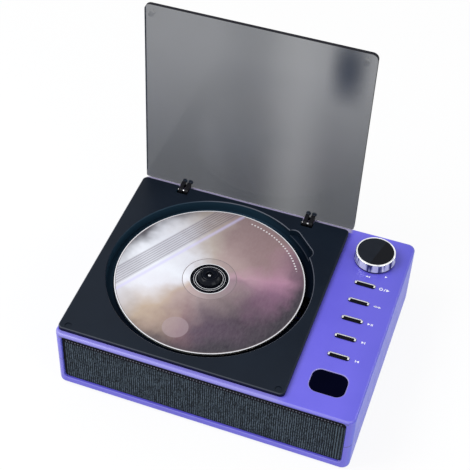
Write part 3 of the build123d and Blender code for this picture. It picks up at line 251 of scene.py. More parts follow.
def plain_steel():
    """Drawn steel; the hinge pins are in shade past the right-hand prong of each hinge."""
    made = brushed("steel", (0.60, 0.60, 0.62), (0.48, 0.48, 0.50), 0.26)
    tree = made.node_tree
    place = axes_of(tree, "Object")
    bright = colour_source(made)
    pin_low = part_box("hinge_pins")[0]
    near_pins = times(tree, rising(tree, place["Y"], pin_low[1] - PIN_MARGIN, pin_low[1]),
                      rising(tree, place["Z"], pin_low[2] - PIN_MARGIN, pin_low[2]))
    shade = 0.0
    for name in ("hinge_arm_left", "hinge_arm_right"):
        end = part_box(name)[1][0]
        past = times(tree, rising(tree, place["X"], end - 0.3 * MM, end),
                     rising(tree, place["X"], end + 4 * MM, end + 3 * MM))
        shade = larger(tree, past, shade)
    colour_link(made, mixed(tree, times(tree, shade, near_pins), bright, PIN_SHADE))
    return made


def circuit_board(name, mask, copper):
    """Solder resist over tracks, with bright pads."""
    made = material(name, mask, 0.35)
    tree = made.node_tree
    place = object_place(tree)
    tracks = add(tree, "TexBrick", {"offset": 0.37}, Vector=place, Scale=1.0, Mortar_Size=0.0006,
                 Brick_Width=0.011, Row_Height=0.0035, Color1=rgba(mask),
                 Color2=rgba([0.8 * c for c in mask]), Mortar=rgba(copper))
    pads = add(tree, "TexVoronoi", Vector=place, Scale=260.0).outputs["Distance"]
    pad_mask = ramp(tree, pads, [(0.12, (1, 1, 1)), (0.16, (0, 0, 0))])
    colour_link(made, mixed(tree, pad_mask, tracks.outputs["Color"], (0.62, 0.6, 0.52)))
    roughness_varied(made, noise(tree, 4 * MM), 0.28, 0.45)
    bumped(made, pads, 0.05 * MM)
    return made


PURPLE = (0.135, 0.116, 0.690)
PURPLE_DEEP = (0.112, 0.097, 0.620)
# Painted highlight on the case's bevels and rounded edges.
PURPLE_EDGE_HIGHLIGHT = (0.34, 0.32, 0.70)
# Painted highlight on the lip in front of the deck.
PURPLE_LIP_HIGHLIGHT = (0.215, 0.195, 0.64)
# Painted shade on the hem above the grille opening.
PURPLE_HEM_SHADE = (0.075, 0.075, 0.22)
# Painted shade towards the case's right end and back.
PURPLE_DIM = (0.070, 0.070, 0.500)
# Painted reflection: a bluish tone with fine streaks on the case's right side.
PURPLE_SIDE_REFLECTION = (0.115, 0.128, 0.60)
PURPLE_STREAK_REFLECTION = (0.125, 0.139, 0.617)
# Painted highlight round the display window.
PURPLE_RIM_HIGHLIGHT = (0.36, 0.33, 0.60)
# Painted highlight on the strip behind the lid.
PURPLE_LINE_HIGHLIGHT = (0.40, 0.36, 0.47)
PURPLE_SEAM = (0.02, 0.018, 0.12)
DECK = (0.0055, 0.0100, 0.0185)
DECK_DEEP = (0.0040, 0.0075, 0.0145)
# Painted highlight on the deck's edges and along the notch's step.
DECK_EDGE_HIGHLIGHT = (0.11, 0.12, 0.15)
# Painted blue sheen on the well's wall; DECK_LEDGE_SHEEN below is the same on the well's floor by the wall.
DECK_WALL_SHEEN = (0.013, 0.034, 0.056)
# Painted shade on the deck's upright outer faces.
DECK_SKIRT_SHADE = (0.0010, 0.0020, 0.0180)
# Painted shade on the well's floor.
DECK_WELL_SHADE = (0.0030, 0.0060, 0.0130)
DECK_LEDGE_SHEEN = (0.017, 0.041, 0.068)
BLACK = (0.006, 0.006, 0.008)


def number(tree, operation, first, second=0.0, third=0.0):
    return add(tree, "Math", {"operation": operation}, i0=first, i1=second, i2=third).outputs[0]


def rising(tree, value, low, high):
    """0 below low, 1 above high and smooth between them; falls instead where low is the larger."""
    return add(tree, "MapRange", {"interpolation_type": "SMOOTHSTEP"}, Value=value, From_Min=low,
               From_Max=high).outputs["Result"]


def plus(tree, first, second):
    return number(tree, "ADD", first, second)


def less(tree, first, second):
    return number(tree, "SUBTRACT", first, second)


def times(tree, first, second):
    return number(tree, "MULTIPLY", first, second)


def larger(tree, first, second):
    return number(tree, "MAXIMUM", first, second)


def scaled(tree, value, factor, offset):
    """The value times the factor, plus the offset."""
    return number(tree, "MULTIPLY_ADD", value, factor, offset)


def magnitude(tree, value):
    return number(tree, "ABSOLUTE", value)


def vector(tree, operation, *values):
    """Vector arithmetic; LENGTH and DISTANCE give a number and the others a vector."""
    node = add(tree, "VectorMath", {"operation": operation}, **{f"i{k}": v for k, v in enumerate(values)})
    return node.outputs["Value" if operation in ("LENGTH", "DISTANCE") else "Vector"]


def bump_at(tree, value, centre, reach):
    """1 where the value is at the centre, falling to 0 at this reach on either side."""
    away = magnitude(tree, less(tree, value, centre))
    return less(tree, 1.0, rising(tree, away, 0.0, reach))


def mixed(tree, share, first, second):
    node = add(tree, "Mix", {"data_type": "RGBA"}, i0=share)
    for index, value in ((6, first), (7, second)):
        if isinstance(value, bpy.types.NodeSocket):
            tree.links.new(value, node.inputs[index])
        else:
            node.inputs[index].default_value = rgba(value)
    return node.outputs[2]


def axes_of(tree, kind):
    """The X, Y and Z outputs of an object's own normal or place."""
    return add(tree, "SeparateXYZ", Vector=add(tree, "TexCoord").outputs[kind]).outputs


def slanted(tree):
    """1 on bevels and rounded edges, which slant between level and upright."""
    tilt = magnitude(tree, axes_of(tree, "Normal")["Z"])
    return times(tree, rising(tree, tilt, 0.2, 0.45), rising(tree, tilt, 0.985, 0.90))


def from_window(tree, place):
    """Distance beyond the display window's middle part; its rounded outline lies at WINDOW_CORNER."""
    squares = []
    for axis, middle, half in (("X", WINDOW[0], WINDOW[2]), ("Y", WINDOW[1], WINDOW[3])):
        away = magnitude(tree, less(tree, place[axis], middle))
        beyond = larger(tree, less(tree, away, half - WINDOW_CORNER), 0.0)
        squares.append(times(tree, beyond, beyond))
    return number(tree, "SQRT", plus(tree, *squares))


# The case's painted highlights, painted shade and seam, each along an axis: where it starts and where it is
# full, or its middle and its reach.
LIP_ACROSS = (deck_high[0] + 3 * MM, deck_high[0] - 6 * MM)
LIP_DEPTH = (deck_low[1] + 0.3 * MM, deck_low[1] - 0.1 * MM)
LIP_LEVEL = (CASE_TOP - 2.2 * MM, CASE_TOP - 1.2 * MM)
HEM_DEPTH = (CASE_FRONT + 0.4 * MM, CASE_FRONT + 0.2 * MM)
HEM_BAND = (CASE_TOP - 2.4 * MM, 1.2 * MM)
DIM_ACROSS = (74 * MM, 99 * MM)
DIM_DEPTH = (5 * MM, 65 * MM)
STRIP_ACROSS = (LID_RIGHT + 1 * MM, LID_RIGHT - 2 * MM)
STRIP_DEPTH = (DECK_BACK, DECK_BACK + 0.3 * MM)
STRIP_LEVEL = (CASE_TOP - 1.6 * MM, CASE_TOP - 0.8 * MM)
RIM_BAND = (WINDOW_CORNER + 0.25 * MM, 0.45 * MM)
SEAM_BAND = (PARTING, 0.55 * MM)


def case_paint():
    """Purple with painted highlight on its lip, bevels, back strip and window rim, painted shade on its hem
    and right end, painted reflection on its right side, and a dark seam.
    """
    made = moulded("case_paint", PURPLE, PURPLE_DEEP, 0.34, spread=0.05, grain=0.18 * MM, depth=0.006 * MM)
    shader_of(made).inputs["Coat Roughness"].default_value = 0.25
    tree = made.node_tree
    normal = axes_of(tree, "Normal")
    place = axes_of(tree, "Object")
    tone = ramp(tree, noise(tree, 60 * MM), [(0.35, PURPLE_DEEP), (0.65, PURPLE)])
    # Painted highlight on the lip along the deck's front edge.
    lip = times(tree, rising(tree, place["X"], *LIP_ACROSS), rising(tree, place["Z"], *LIP_LEVEL))
    lip = times(tree, lip, rising(tree, place["Y"], *LIP_DEPTH))
    tone = mixed(tree, lip, tone, PURPLE_LIP_HIGHLIGHT)
    # Painted shade on the hem just above the grille opening.
    hem = times(tree, rising(tree, place["Y"], *HEM_DEPTH), bump_at(tree, place["Z"], *HEM_BAND))
    tone = mixed(tree, hem, tone, PURPLE_HEM_SHADE)
    # Painted shade: the top darkens towards its right end, more so towards the back.
    far = times(tree, rising(tree, place["Y"], *DIM_DEPTH), 0.35)
    dim = times(tree, rising(tree, place["X"], *DIM_ACROSS), plus(tree, far, 0.45))
    tone = mixed(tree, dim, tone, PURPLE_DIM)
    # Painted reflection on the right side: a bluish tone with fine upright streaks.
    side = rising(tree, normal["X"], 0.6, 0.95)
    streaks = noise(tree, 2.5 * MM, detail=2, stretch=(1, 1, 0.05))
    tone = mixed(tree, side, tone, ramp(tree, streaks, [(0.35, PURPLE_SIDE_REFLECTION), (0.7, PURPLE_STREAK_REFLECTION)]))
    linked(made, "Specular IOR Level", scaled(tree, side, -0.42, 0.5))
    linked(made, "Coat Weight", scaled(tree, side, -0.15, 0.15))
    # Painted highlight on bevels and rounded edges, not on faces turned to the right.
    bevel = times(tree, slanted(tree), rising(tree, normal["X"], 0.5, 0.1))
    tone = mixed(tree, times(tree, bevel, 0.4), tone, PURPLE_EDGE_HIGHLIGHT)
    # Painted highlight on the case's strip behind the deck, left of the lid's right end.
    strip = times(tree, rising(tree, place["Y"], *STRIP_DEPTH), rising(tree, place["X"], *STRIP_ACROSS))
    strip = times(tree, strip, rising(tree, place["Z"], *STRIP_LEVEL))
    tone = mixed(tree, times(tree, strip, 0.85), tone, PURPLE_LINE_HIGHLIGHT)
    # Painted highlight on a thin line round the display window.
    rim = bump_at(tree, from_window(tree, place), *RIM_BAND)
    tone = mixed(tree, times(tree, rim, 0.75), tone, PURPLE_RIM_HIGHLIGHT)
    seam = times(tree, bump_at(tree, place["Z"], *SEAM_BAND), 0.9)
    colour_link(made, mixed(tree, seam, tone, PURPLE_SEAM))
    return made


# The deck's painted shade, sheen and highlight, each from where it starts to where it is full, or its middle
# and its reach.
NOTCH_START = (WELL_RADIUS + 0.1 * MM, WELL_RADIUS + 0.5 * MM)
NOTCH_STEP = (WELL_RADIUS + 0.35 * MM, 0.55 * MM)
WELL_DEPTH = (CASE_TOP + 2.0 * MM, DISC_BOTTOM)
WALL_DEPTH = (DISC_BOTTOM - 2.4 * MM, DISC_BOTTOM + 0.6 * MM)
WALL_LEFTWARD = (2 * MM, 48 * MM)
LEDGE_REACH = (DISC_RADIUS - 0.2 * MM, DISC_RADIUS + 1.4 * MM)
LEDGE_LEFTWARD = (-10 * MM, 45 * MM)
SKIRT_DEPTH = (deck_low[1] + 1.5 * MM, deck_low[1] + 0.5 * MM)


def deck_plastic():
    """Satin black with painted highlight along its edges; painted shade darkens the well and the outer skirt,
    with a painted blue sheen on the well's wall.
    """
    made = moulded("deck_plastic", DECK, DECK_DEEP, 0.40, spread=0.05, grain=0.16 * MM, depth=0.010 * MM)
    tree = made.node_tree
    normal = axes_of(tree, "Normal")
    place = axes_of(tree, "Object")
    away = vector(tree, "SUBTRACT", add(tree, "TexCoord").outputs["Object"], tuple(DISC))
    across = add(tree, "SeparateXYZ", Vector=away).outputs
    leftward = scaled(tree, across["X"], -0.7, times(tree, across["Y"], 0.7))
    reach = vector(tree, "LENGTH", vector(tree, "MULTIPLY", away, (1, 1, 0)))
    broad = ramp(tree, noise(tree, 45 * MM), [(0.35, DECK_DEEP), (0.65, DECK)])
    deep = rising(tree, place["Z"], *WELL_DEPTH)
    linked(made, "Specular IOR Level", scaled(tree, deep, -0.12, 0.14))
    # Painted shade: the well's floor darker, apart from the finger notch.
    sunk = times(tree, deep, scaled(tree, rising(tree, reach, *NOTCH_START), -0.75, 1.0))
    # Painted blue sheen on the well's floor near its left and back wall.
    ledge = times(tree, rising(tree, reach, *LEDGE_REACH), rising(tree, leftward, *LEDGE_LEFTWARD))
    floor = mixed(tree, sunk, broad, mixed(tree, ledge, DECK_WELL_SHADE, DECK_LEDGE_SHEEN))
    # Painted blue sheen on the well's wall facing front and right.
    towards = scaled(tree, normal["Y"], -0.8, times(tree, normal["X"], 0.6))
    facing = times(tree, rising(tree, towards, 0.15, 0.75), rising(tree, leftward, *WALL_LEFTWARD))
    well = mixed(tree, times(tree, facing, rising(tree, place["Z"], *WALL_DEPTH)), floor, DECK_WALL_SHEEN)
    # Painted shade on the deck's upright outer faces at the front.
    outside = rising(tree, place["Y"], *SKIRT_DEPTH)
    upright = rising(tree, magnitude(tree, normal["Z"]), 0.35, 0.05)
    walled = mixed(tree, times(tree, outside, upright), well, DECK_SKIRT_SHADE)
    # Painted highlight on bevels and rounded edges, weaker on the outer skirt, and a faint painted highlight
    # line where the finger notch steps down.
    lit = times(tree, slanted(tree), rising(tree, normal["X"], 0.45, 0.1))
    bevels = times(tree, lit, scaled(tree, outside, -0.5, 0.9))
    level = times(tree, rising(tree, normal["Z"], 0.8, 0.95), rising(tree, deep, 0.7, 0.8))
    step = times(tree, bump_at(tree, reach, *NOTCH_STEP), level)
    lines = larger(tree, bevels, times(tree, step, 0.33))
    colour_link(made, mixed(tree, lines, walled, DECK_EDGE_HIGHLIGHT))
    return made


LID_ALPHA = 0.515
# LID_FOOT: painted reflection, the sheet denser towards the hinges.
LID_FOOT = 0.165
LID_ROUGHNESS = 0.12
LID_TONES = ((0.019, 0.029, 0.057), (0.033, 0.043, 0.061))
LID_CUT_EDGE = (0.003, 0.003, 0.007)
# Painted reflections: a lighter and a darker band across the lid and a dark patch near its top, each a middle
# and its reach to either side.
LID_LIGHT_REFLECTION = (8 * MM, 26 * MM)
LID_DARK_REFLECTION = (-26 * MM, 24 * MM)
LID_PATCH_ACROSS = (36 * MM, 15 * MM)
LID_PATCH_HEIGHT = (171 * MM, 34 * MM)


def lid_acrylic():
    """Smoked sheet with cut edges; painted reflections make it denser towards the hinges, with lighter and
    darker bands and a dark patch.
    """
    made = material("smoked_acrylic", (0.03, 0.031, 0.038), LID_ROUGHNESS, Specular_IOR_Level=0.25)
    tree = made.node_tree
    cloud = noise(tree, 60 * MM, detail=2)
    place = axes_of(tree, "Object")
    low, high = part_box("lid_panel")
    # Painted reflections: denser towards the foot, with a lighter band, a darker band and a dark patch.
    foot = rising(tree, place["Z"], high[2], low[2])
    light_reflection = times(tree, bump_at(tree, place["X"], *LID_LIGHT_REFLECTION), scaled(tree, foot, -0.07, -0.05))
    dark_reflection = times(tree, bump_at(tree, place["X"], *LID_DARK_REFLECTION), 0.035)
    patch = times(tree, bump_at(tree, place["X"], *LID_PATCH_ACROSS),
                  bump_at(tree, place["Z"], *LID_PATCH_HEIGHT))
    alpha = scaled(tree, foot, LID_FOOT, LID_ALPHA)
    for share in (light_reflection, dark_reflection, times(tree, patch, 0.33), between(tree, cloud, -0.02, 0.02)):
        alpha = plus(tree, alpha, share)
    facing = magnitude(tree, axes_of(tree, "Normal")["Y"])
    edge = times(tree, rising(tree, facing, 0.8, 0.5),
                 rising(tree, place["Z"], low[2] + 2 * MM, low[2] + 5 * MM))
    linked(made, "Alpha", larger(tree, edge, alpha))
    linked(made, "Roughness", scaled(tree, edge, 0.7, LID_ROUGHNESS))
    colour_link(made, mixed(tree, edge, two_tones(tree, cloud, *LID_TONES), LID_CUT_EDGE))
    return made


# Painted reflections: streaks round the knob's side, from dark to white.
KNOB_STREAK_REFLECTIONS = [(0.38, (0.02, 0.02, 0.09)), (0.46, (0.24, 0.26, 0.45)), (0.53, (0.95, 0.96, 1.0))]
KNOB_RIM = [(0.34, (0.55, 0.57, 0.62)), (0.5, (1.0, 1.0, 1.0))]
# Colour of the painted dark reflection line under the rim and the painted shade at the knob's foot.
KNOB_LINE = (0.015, 0.012, 0.05)


def knob_chrome():
    """Bright rim, a painted dark reflection line under it, painted shade at the foot, and painted reflections
    as streaks round the side.
    """
    made = material("knob_chrome", (0.82, 0.84, 0.88), 0.08, Metallic=0.8)
    tree = made.node_tree
    streaks = noise(tree, 3.2 * MM, detail=2, stretch=(1, 1, 0.02), roughness=0.7)
    rim = ramp(tree, noise(tree, 9 * MM, detail=2), KNOB_RIM)
    tilt = axes_of(tree, "Normal")["Z"]
    topped = mixed(tree, rising(tree, tilt, 0.45, 0.6), ramp(tree, streaks, KNOB_STREAK_REFLECTIONS), rim)
    foot = rising(tree, axes_of(tree, "Object")["Z"], knob_low[2] + 1.0 * MM, knob_low[2] + 0.6 * MM)
    # Painted dark reflection line under the rim and painted shade at the foot.
    dark = larger(tree, bump_at(tree, tilt, 0.28, 0.26), foot)
    colour_link(made, mixed(tree, dark, topped, KNOB_LINE))
    linked(made, "Metallic", scaled(tree, rising(tree, tilt, 0.3, 0.5), 0.45, 0.35))
    roughness_varied(made, streaks, 0.05, 0.16)
    return made


# Colour of the painted highlights on the buttons and their rims.
BUTTON_HIGHLIGHT = (0.92, 0.92, 0.95)


def button_shine(tree):
    """1 on the painted highlights: bright spots at both ends of a button and a line along its back edge."""
    place = axes_of(tree, "Object")
    across = magnitude(tree, less(tree, place["X"], CONTROL_X))
    from_row = less(tree, place["Y"], BUTTON_ROWS[-1] - BUTTON_PITCH / 2)
    in_row = less(tree, number(tree, "MODULO", from_row, BUTTON_PITCH), BUTTON_PITCH / 2)
    middle = rising(tree, magnitude(tree, in_row), 1.1 * MM, 0.7 * MM)
    ends = times(tree, bump_at(tree, across, BUTTON_REACH - 0.75 * MM, 0.75 * MM), middle)
    span = rising(tree, across, BUTTON_REACH - 0.8 * MM, BUTTON_REACH - 1.4 * MM)
    line = times(tree, bump_at(tree, in_row, 1.12 * MM, 0.5 * MM), span)
    return number(tree, "MINIMUM", plus(tree, times(tree, ends, 1.6), times(tree, line, 1.2)), 1.0)


def bezel_chrome():
    """Dark plated ring with painted highlights at its ends and along its back edge."""
    made = material("bezel_chrome", (0.05, 0.05, 0.06), 0.14, Metallic=0.4, Specular_IOR_Level=0.1)
    tree = made.node_tree
    shade = noise(tree, 2 * MM)
    dark = two_tones(tree, shade, (0.003, 0.003, 0.006), (0.010, 0.010, 0.018))
    colour_link(made, mixed(tree, button_shine(tree), dark, BUTTON_HIGHLIGHT))
    roughness_varied(made, shade, 0.08, 0.2)
    return made


CLOTH_DARK = (0.0012, 0.0018, 0.003)
CLOTH_MIDDLE = (0.014, 0.020, 0.029)
CLOTH_LIGHT = (0.085, 0.115, 0.145)
CLOTH_SHADE = (0.001, 0.001, 0.004)
CLOTH_RIB_SHOWN = 1.35 * MM
# FOLD_PITCH and FOLDS_FROM_RIGHT place the painted highlight and shade on the folds.
FOLD_PITCH = 1.6 * MM
FOLDS_FROM_RIGHT = (6.8 * MM, 6.2 * MM)


def cloth_material():
    """Ribbed weave of uneven threads, with painted shade along its hem and edges and painted highlight and
    shade on the folds at its right end.
    """
    made = material("grille_weave", CLOTH_MIDDLE, 0.85, Sheen_Weight=0.04, Sheen_Roughness=0.4,
                    Specular_IOR_Level=0.1)
    tree = made.node_tree
    place = axes_of(tree, "Object")
    threads = noise(tree, 0.40 * MM, detail=1, stretch=(1.0, 1, 0.05), roughness=0.5)
    fuzz = noise(tree, 0.9 * MM, detail=2, stretch=(1.6, 1, 0.55))
    sway = times(tree, noise(tree, 9 * MM, detail=2), 5.0)
    phase = scaled(tree, place["X"], 2 * math.pi / CLOTH_RIB_SHOWN, sway)
    ribs = scaled(tree, number(tree, "SINE", phase), 0.11, 0.5)
    uneven = scaled(tree, fuzz, 0.45, times(tree, threads, 0.20))
    total = scaled(tree, ribs, 0.75, scaled(tree, uneven, 1.0, -0.20))
    weave = ramp(tree, total, [(0.38, CLOTH_DARK), (0.5, CLOTH_MIDDLE), (0.62, CLOTH_LIGHT)])
    hem = rising(tree, place["Z"], HEM_LOW - 0.2 * MM, HEM_LOW + 0.2 * MM)
    foot = rising(tree, place["Z"], cloth_low[2] + 0.9 * MM, cloth_low[2] + 0.5 * MM)
    left = rising(tree, place["X"], cloth_low[0] + 2.0 * MM, cloth_low[0] + 1.5 * MM)
    shade = larger(tree, hem, larger(tree, foot, left))
    from_right = less(tree, cloth_high[0], place["X"])
    waves = number(tree, "SINE", times(tree, from_right, 2 * math.pi / FOLD_PITCH))
    # Painted highlight on the folds' ridges and painted shade in their valleys.
    folded_end = rising(tree, from_right, *FOLDS_FROM_RIGHT)
    folds = times(tree, rising(tree, waves, 0.3, 0.9), folded_end)
    valleys = times(tree, rising(tree, waves, -0.3, -0.9), folded_end)
    raised = mixed(tree, times(tree, folds, 0.85), weave, CLOTH_LIGHT)
    folded = mixed(tree, times(tree, valleys, 0.9), raised, CLOTH_DARK)
    colour_link(made, mixed(tree, times(tree, shade, 0.95), folded, CLOTH_SHADE))
    bumped(made, noise(tree, 0.22 * MM, detail=2, stretch=(1, 1, 0.6)), 0.05 * MM)
    return made


# How much the label turns to a warm tone towards its middle, round the disc by the same angles as its tones.
LABEL_MIDDLE = [(-180, 0.0), (-140, 0.25), (-110, 0.75), (-60, 0.55), (0, 0.25), (45, 0.35), (90, 0.5),
                (125, 0.1), (180, 0.0)]
# How much the label darkens towards its rim, round the disc by the same angles.
LABEL_RIM = [(-180, 0.40), (-165, 0.10), (-140, 0.30), (-120, 0.80), (-95, 0.90), (-30, 1.0), (10, 0.95),
             (30, 0.60), (45, 0.05), (105, 0.05), (128, 0.95), (160, 0.95), (180, 0.40)]
# Tones of the label round the disc, each with its angle in degrees from the object's +X.
LABEL_TONES = [(-180, (0.84, 0.86, 0.92)), (-158, (0.80, 0.80, 0.86)), (-128, (0.50, 0.39, 0.30)),
               (-98, (0.20, 0.115, 0.130)), (-72, (0.095, 0.065, 0.095)), (-38, (0.070, 0.050, 0.070)),
               (0, (0.22, 0.115, 0.180)), (22, (0.40, 0.21, 0.30)), (50, (0.27, 0.18, 0.185)),
               (86, (0.27, 0.19, 0.19)), (112, (0.42, 0.36, 0.32)), (140, (0.72, 0.73, 0.79)),
               (180, (0.84, 0.86, 0.92))]


def disc_place(tree, height=0):
    """Place from the disc's centre, with its height kept at this share."""
    return add(tree, "Mapping", Vector=add(tree, "TexCoord").outputs["Object"],
               Location=(-DISC[0], -DISC[1], 0), Scale=(1, 1, height)).outputs["Vector"]


# The label's printed shapes: part of a ring of ticks, a round patch, and a wedge of lines with a band beside
# it. TICKS_START and TICKS_END are angles in radians, and LINE_RATE is radians of the lines' wave in a metre.
TICK_RING = (55.2 * MM, 0.80 * MM)
TICKS_PER_TURN = 150.0
TICKS_START, TICKS_END = (0.46, 0.50), (1.42, 1.38)
PATCH_PLACE = (-6 * MM, -44 * MM, 0)
PATCH_EDGE = (8.3 * MM, 7.9 * MM)
LABEL_SLANT = -0.62
LINE_RATE = 3200.0
WEDGE_START, WEDGE_END = (-52 * MM, -51.4 * MM), (-37 * MM, -37.6 * MM)
SLANTED_BAND = (-34 * MM, 2.4 * MM)


def label_drawing(tree, place, ground):
    """Plain shapes printed over the label's ground colour."""
    parts = add(tree, "SeparateXYZ", Vector=place).outputs
    turn = number(tree, "ARCTAN2", parts["Y"], parts["X"])
    ring = bump_at(tree, vector(tree, "LENGTH", place), *TICK_RING)
    ticks = rising(tree, number(tree, "SINE", times(tree, turn, TICKS_PER_TURN)), 0.0, 0.3)
    span = times(tree, rising(tree, turn, *TICKS_START), rising(tree, turn, *TICKS_END))
    marks = times(tree, times(tree, ring, ticks), span)
    patch = rising(tree, vector(tree, "DISTANCE", place, PATCH_PLACE), *PATCH_EDGE)
    slant = scaled(tree, parts["Y"], LABEL_SLANT, parts["X"])
    lines = rising(tree, number(tree, "SINE", times(tree, slant, LINE_RATE)), 0.55, 0.9)
    wedge = times(tree, rising(tree, slant, *WEDGE_START), rising(tree, slant, *WEDGE_END))
    band = bump_at(tree, slant, *SLANTED_BAND)
    shaded = mixed(tree, times(tree, wedge, 0.3), ground, (0.20, 0.17, 0.22))
    with_lines = mixed(tree, times(tree, times(tree, lines, wedge), 0.55), shaded, (0.06, 0.05, 0.08))
    with_band = mixed(tree, times(tree, band, 0.5), with_lines, (0.62, 0.58, 0.90))
    with_patch = mixed(tree, times(tree, patch, 0.45), with_band, (0.42, 0.33, 0.36))
    return mixed(tree, marks, with_patch, (0.85, 0.82, 0.84))


def by_angle(tree, turn, stops):
    """Ramp over the turn round the disc; each stop is an angle in degrees with a colour or a plain share."""
    return ramp(tree, turn, [((angle + 180) / 360, tone if isinstance(tone, tuple) else (tone,) * 3)
                             for angle, tone in stops])


LABEL_WARP = (0.055, 0.055, 0.0)
LABEL_CENTRE_REACH = (43 * MM, 14 * MM)
LABEL_RIM_REACH = (42 * MM, 60 * MM)


def disc_label():
    """Soft sectors of silver, cream, plum and mauve, as light spreads over a printed disc."""
    made = material("disc_label", (0.5, 0.42, 0.45), 0.30, Specular_IOR_Level=0.08)
    tree = made.node_tree
    place = disc_place(tree)
    warp = add(tree, "TexNoise", Vector=place, Scale=22.0, Detail=4.0, Roughness=0.55).outputs["Color"]
    moved = vector(tree, "MULTIPLY_ADD", vector(tree, "SUBTRACT", warp, (0.5, 0.5, 0.5)), LABEL_WARP, place)
    turn = add(tree, "TexGradient", {"gradient_type": "RADIAL"}, Vector=moved).outputs["Fac"]
    reach = vector(tree, "LENGTH", moved)
    inward = times(tree, rising(tree, reach, *LABEL_CENTRE_REACH), by_angle(tree, turn, LABEL_MIDDLE))
    centre = mixed(tree, inward, by_angle(tree, turn, LABEL_TONES), (0.55, 0.43, 0.41))
    outward = times(tree, rising(tree, reach, *LABEL_RIM_REACH), by_angle(tree, turn, LABEL_RIM))
    ends = mixed(tree, outward, centre, (0.040, 0.036, 0.046))
    grain = noise(tree, 1.1 * MM, detail=4, stretch=(1, 0.35, 1))
    grained = mixed(tree, between(tree, grain, 0.0, 0.07), ends, (0.55, 0.50, 0.52))
    colour_link(made, label_drawing(tree, place, grained))
    roughness_varied(made, noise(tree, 10 * MM), 0.24, 0.36)
    return made


def disc_label_inner():
    """The clear inner band over the same label, a little paler than it."""
    made = disc_label()
    made.name = "disc_label_inner"
    colour_link(made, mixed(made.node_tree, 0.06, colour_source(made), (0.62, 0.60, 0.62)))
    return made


# Painted rainbow sheen, its hue changing round the disc.
SILVER_HUES = [(0.0, (0.80, 0.78, 0.84)), (0.2, (0.72, 0.84, 0.78)), (0.4, (0.86, 0.80, 0.70)),
               (0.6, (0.74, 0.76, 0.90)), (0.8, (0.84, 0.72, 0.82)), (1.0, (0.80, 0.78, 0.84))]


def disc_silver():
    """Playing side: mirror metal under plastic, with faint rings and a painted rainbow sheen round it."""
    made = material("disc_silver", (0.78, 0.79, 0.82), 0.12, Metallic=0.9)
    tree = made.node_tree
    place = disc_place(tree, 1)
    rings = add(tree, "TexWave", {"wave_type": "RINGS", "rings_direction": "Z"}, Vector=place, Scale=350.0,
                Distortion=0.0).outputs["Fac"]
    angle = add(tree, "TexGradient", {"gradient_type": "RADIAL"}, Vector=place).outputs["Fac"]
    colour_link(made, ramp(tree, angle, SILVER_HUES))
    roughness_varied(made, rings, 0.08, 0.18)
    return made


def clear_plastic(name, colour, alpha, roughness=0.06, specular=0.5):
    made = material(name, colour, roughness, Alpha=alpha, Specular_IOR_Level=specular)
    roughness_varied(made, noise(made.node_tree, 5 * MM), max(0.02, roughness - 0.03), roughness + 0.04)
    return made


def white_print():
    made = material("white_print", (0.86, 0.86, 0.9), 0.5)
    colour_varied(made, noise(made.node_tree, 1.2 * MM), (0.80, 0.80, 0.86), (0.92, 0.92, 0.95))
    return made


def cone_paper():
    made = material("cone_paper", (0.02, 0.02, 0.02), 0.9)
    tree = made.node_tree
    fibres = noise(tree, 0.7 * MM, detail=5)
    colour_varied(made, fibres, (0.014, 0.014, 0.015), (0.035, 0.034, 0.033))
    bumped(made, fibres, 0.08 * MM)
    return made


def button_gloss():
    """Glossy black with painted highlights at a button's ends and along its back edge."""
    dark, paler = (0.002, 0.002, 0.004), (0.004, 0.004, 0.006)
    made = moulded("button_gloss", dark, paler, 0.16, spread=0.05, depth=0.002 * MM, Specular_IOR_Level=0.06)
    tree = made.node_tree
    toned = two_tones(tree, noise(tree, 3 * MM), dark, paler)
    colour_link(made, mixed(tree, button_shine(tree), toned, BUTTON_HIGHLIGHT))
    return made


CAP_SLANT = 0.25


def cap_gloss():
    """Glossy black with painted shade to the right of a line that slants across the knob's cap."""
    made = moulded("cap_gloss", (0.003, 0.006, 0.012), (0.005, 0.009, 0.017), 0.10, spread=0.04,
                   depth=0.002 * MM, Specular_IOR_Level=0.12)
    tree = made.node_tree
    place = axes_of(tree, "Object")
    side = scaled(tree, place["Y"], -CAP_SLANT, place["X"])
    middle = CONTROL_X - CAP_SLANT * KNOB_Y
    # Painted shade on the cap's right part.
    share = rising(tree, side, middle + 1.2 * MM, middle + 2.2 * MM)
    lit = two_tones(tree, noise(tree, 9 * MM), (0.004, 0.007, 0.013), (0.007, 0.010, 0.017))
    colour_link(made, mixed(tree, share, lit, (0.0012, 0.0020, 0.0045)))
    return made


def battery_film():
    made = material("battery_film", (0.04, 0.12, 0.36), 0.28)
    tree = made.node_tree
    colour_varied(made, noise(tree, 14 * MM, stretch=(1, 0.3, 1)), (0.03, 0.10, 0.32), (0.05, 0.16, 0.42))
    bumped(made, noise(tree, 5 * MM, detail=4, stretch=(1, 0.25, 1)), 0.15 * MM)
    return made


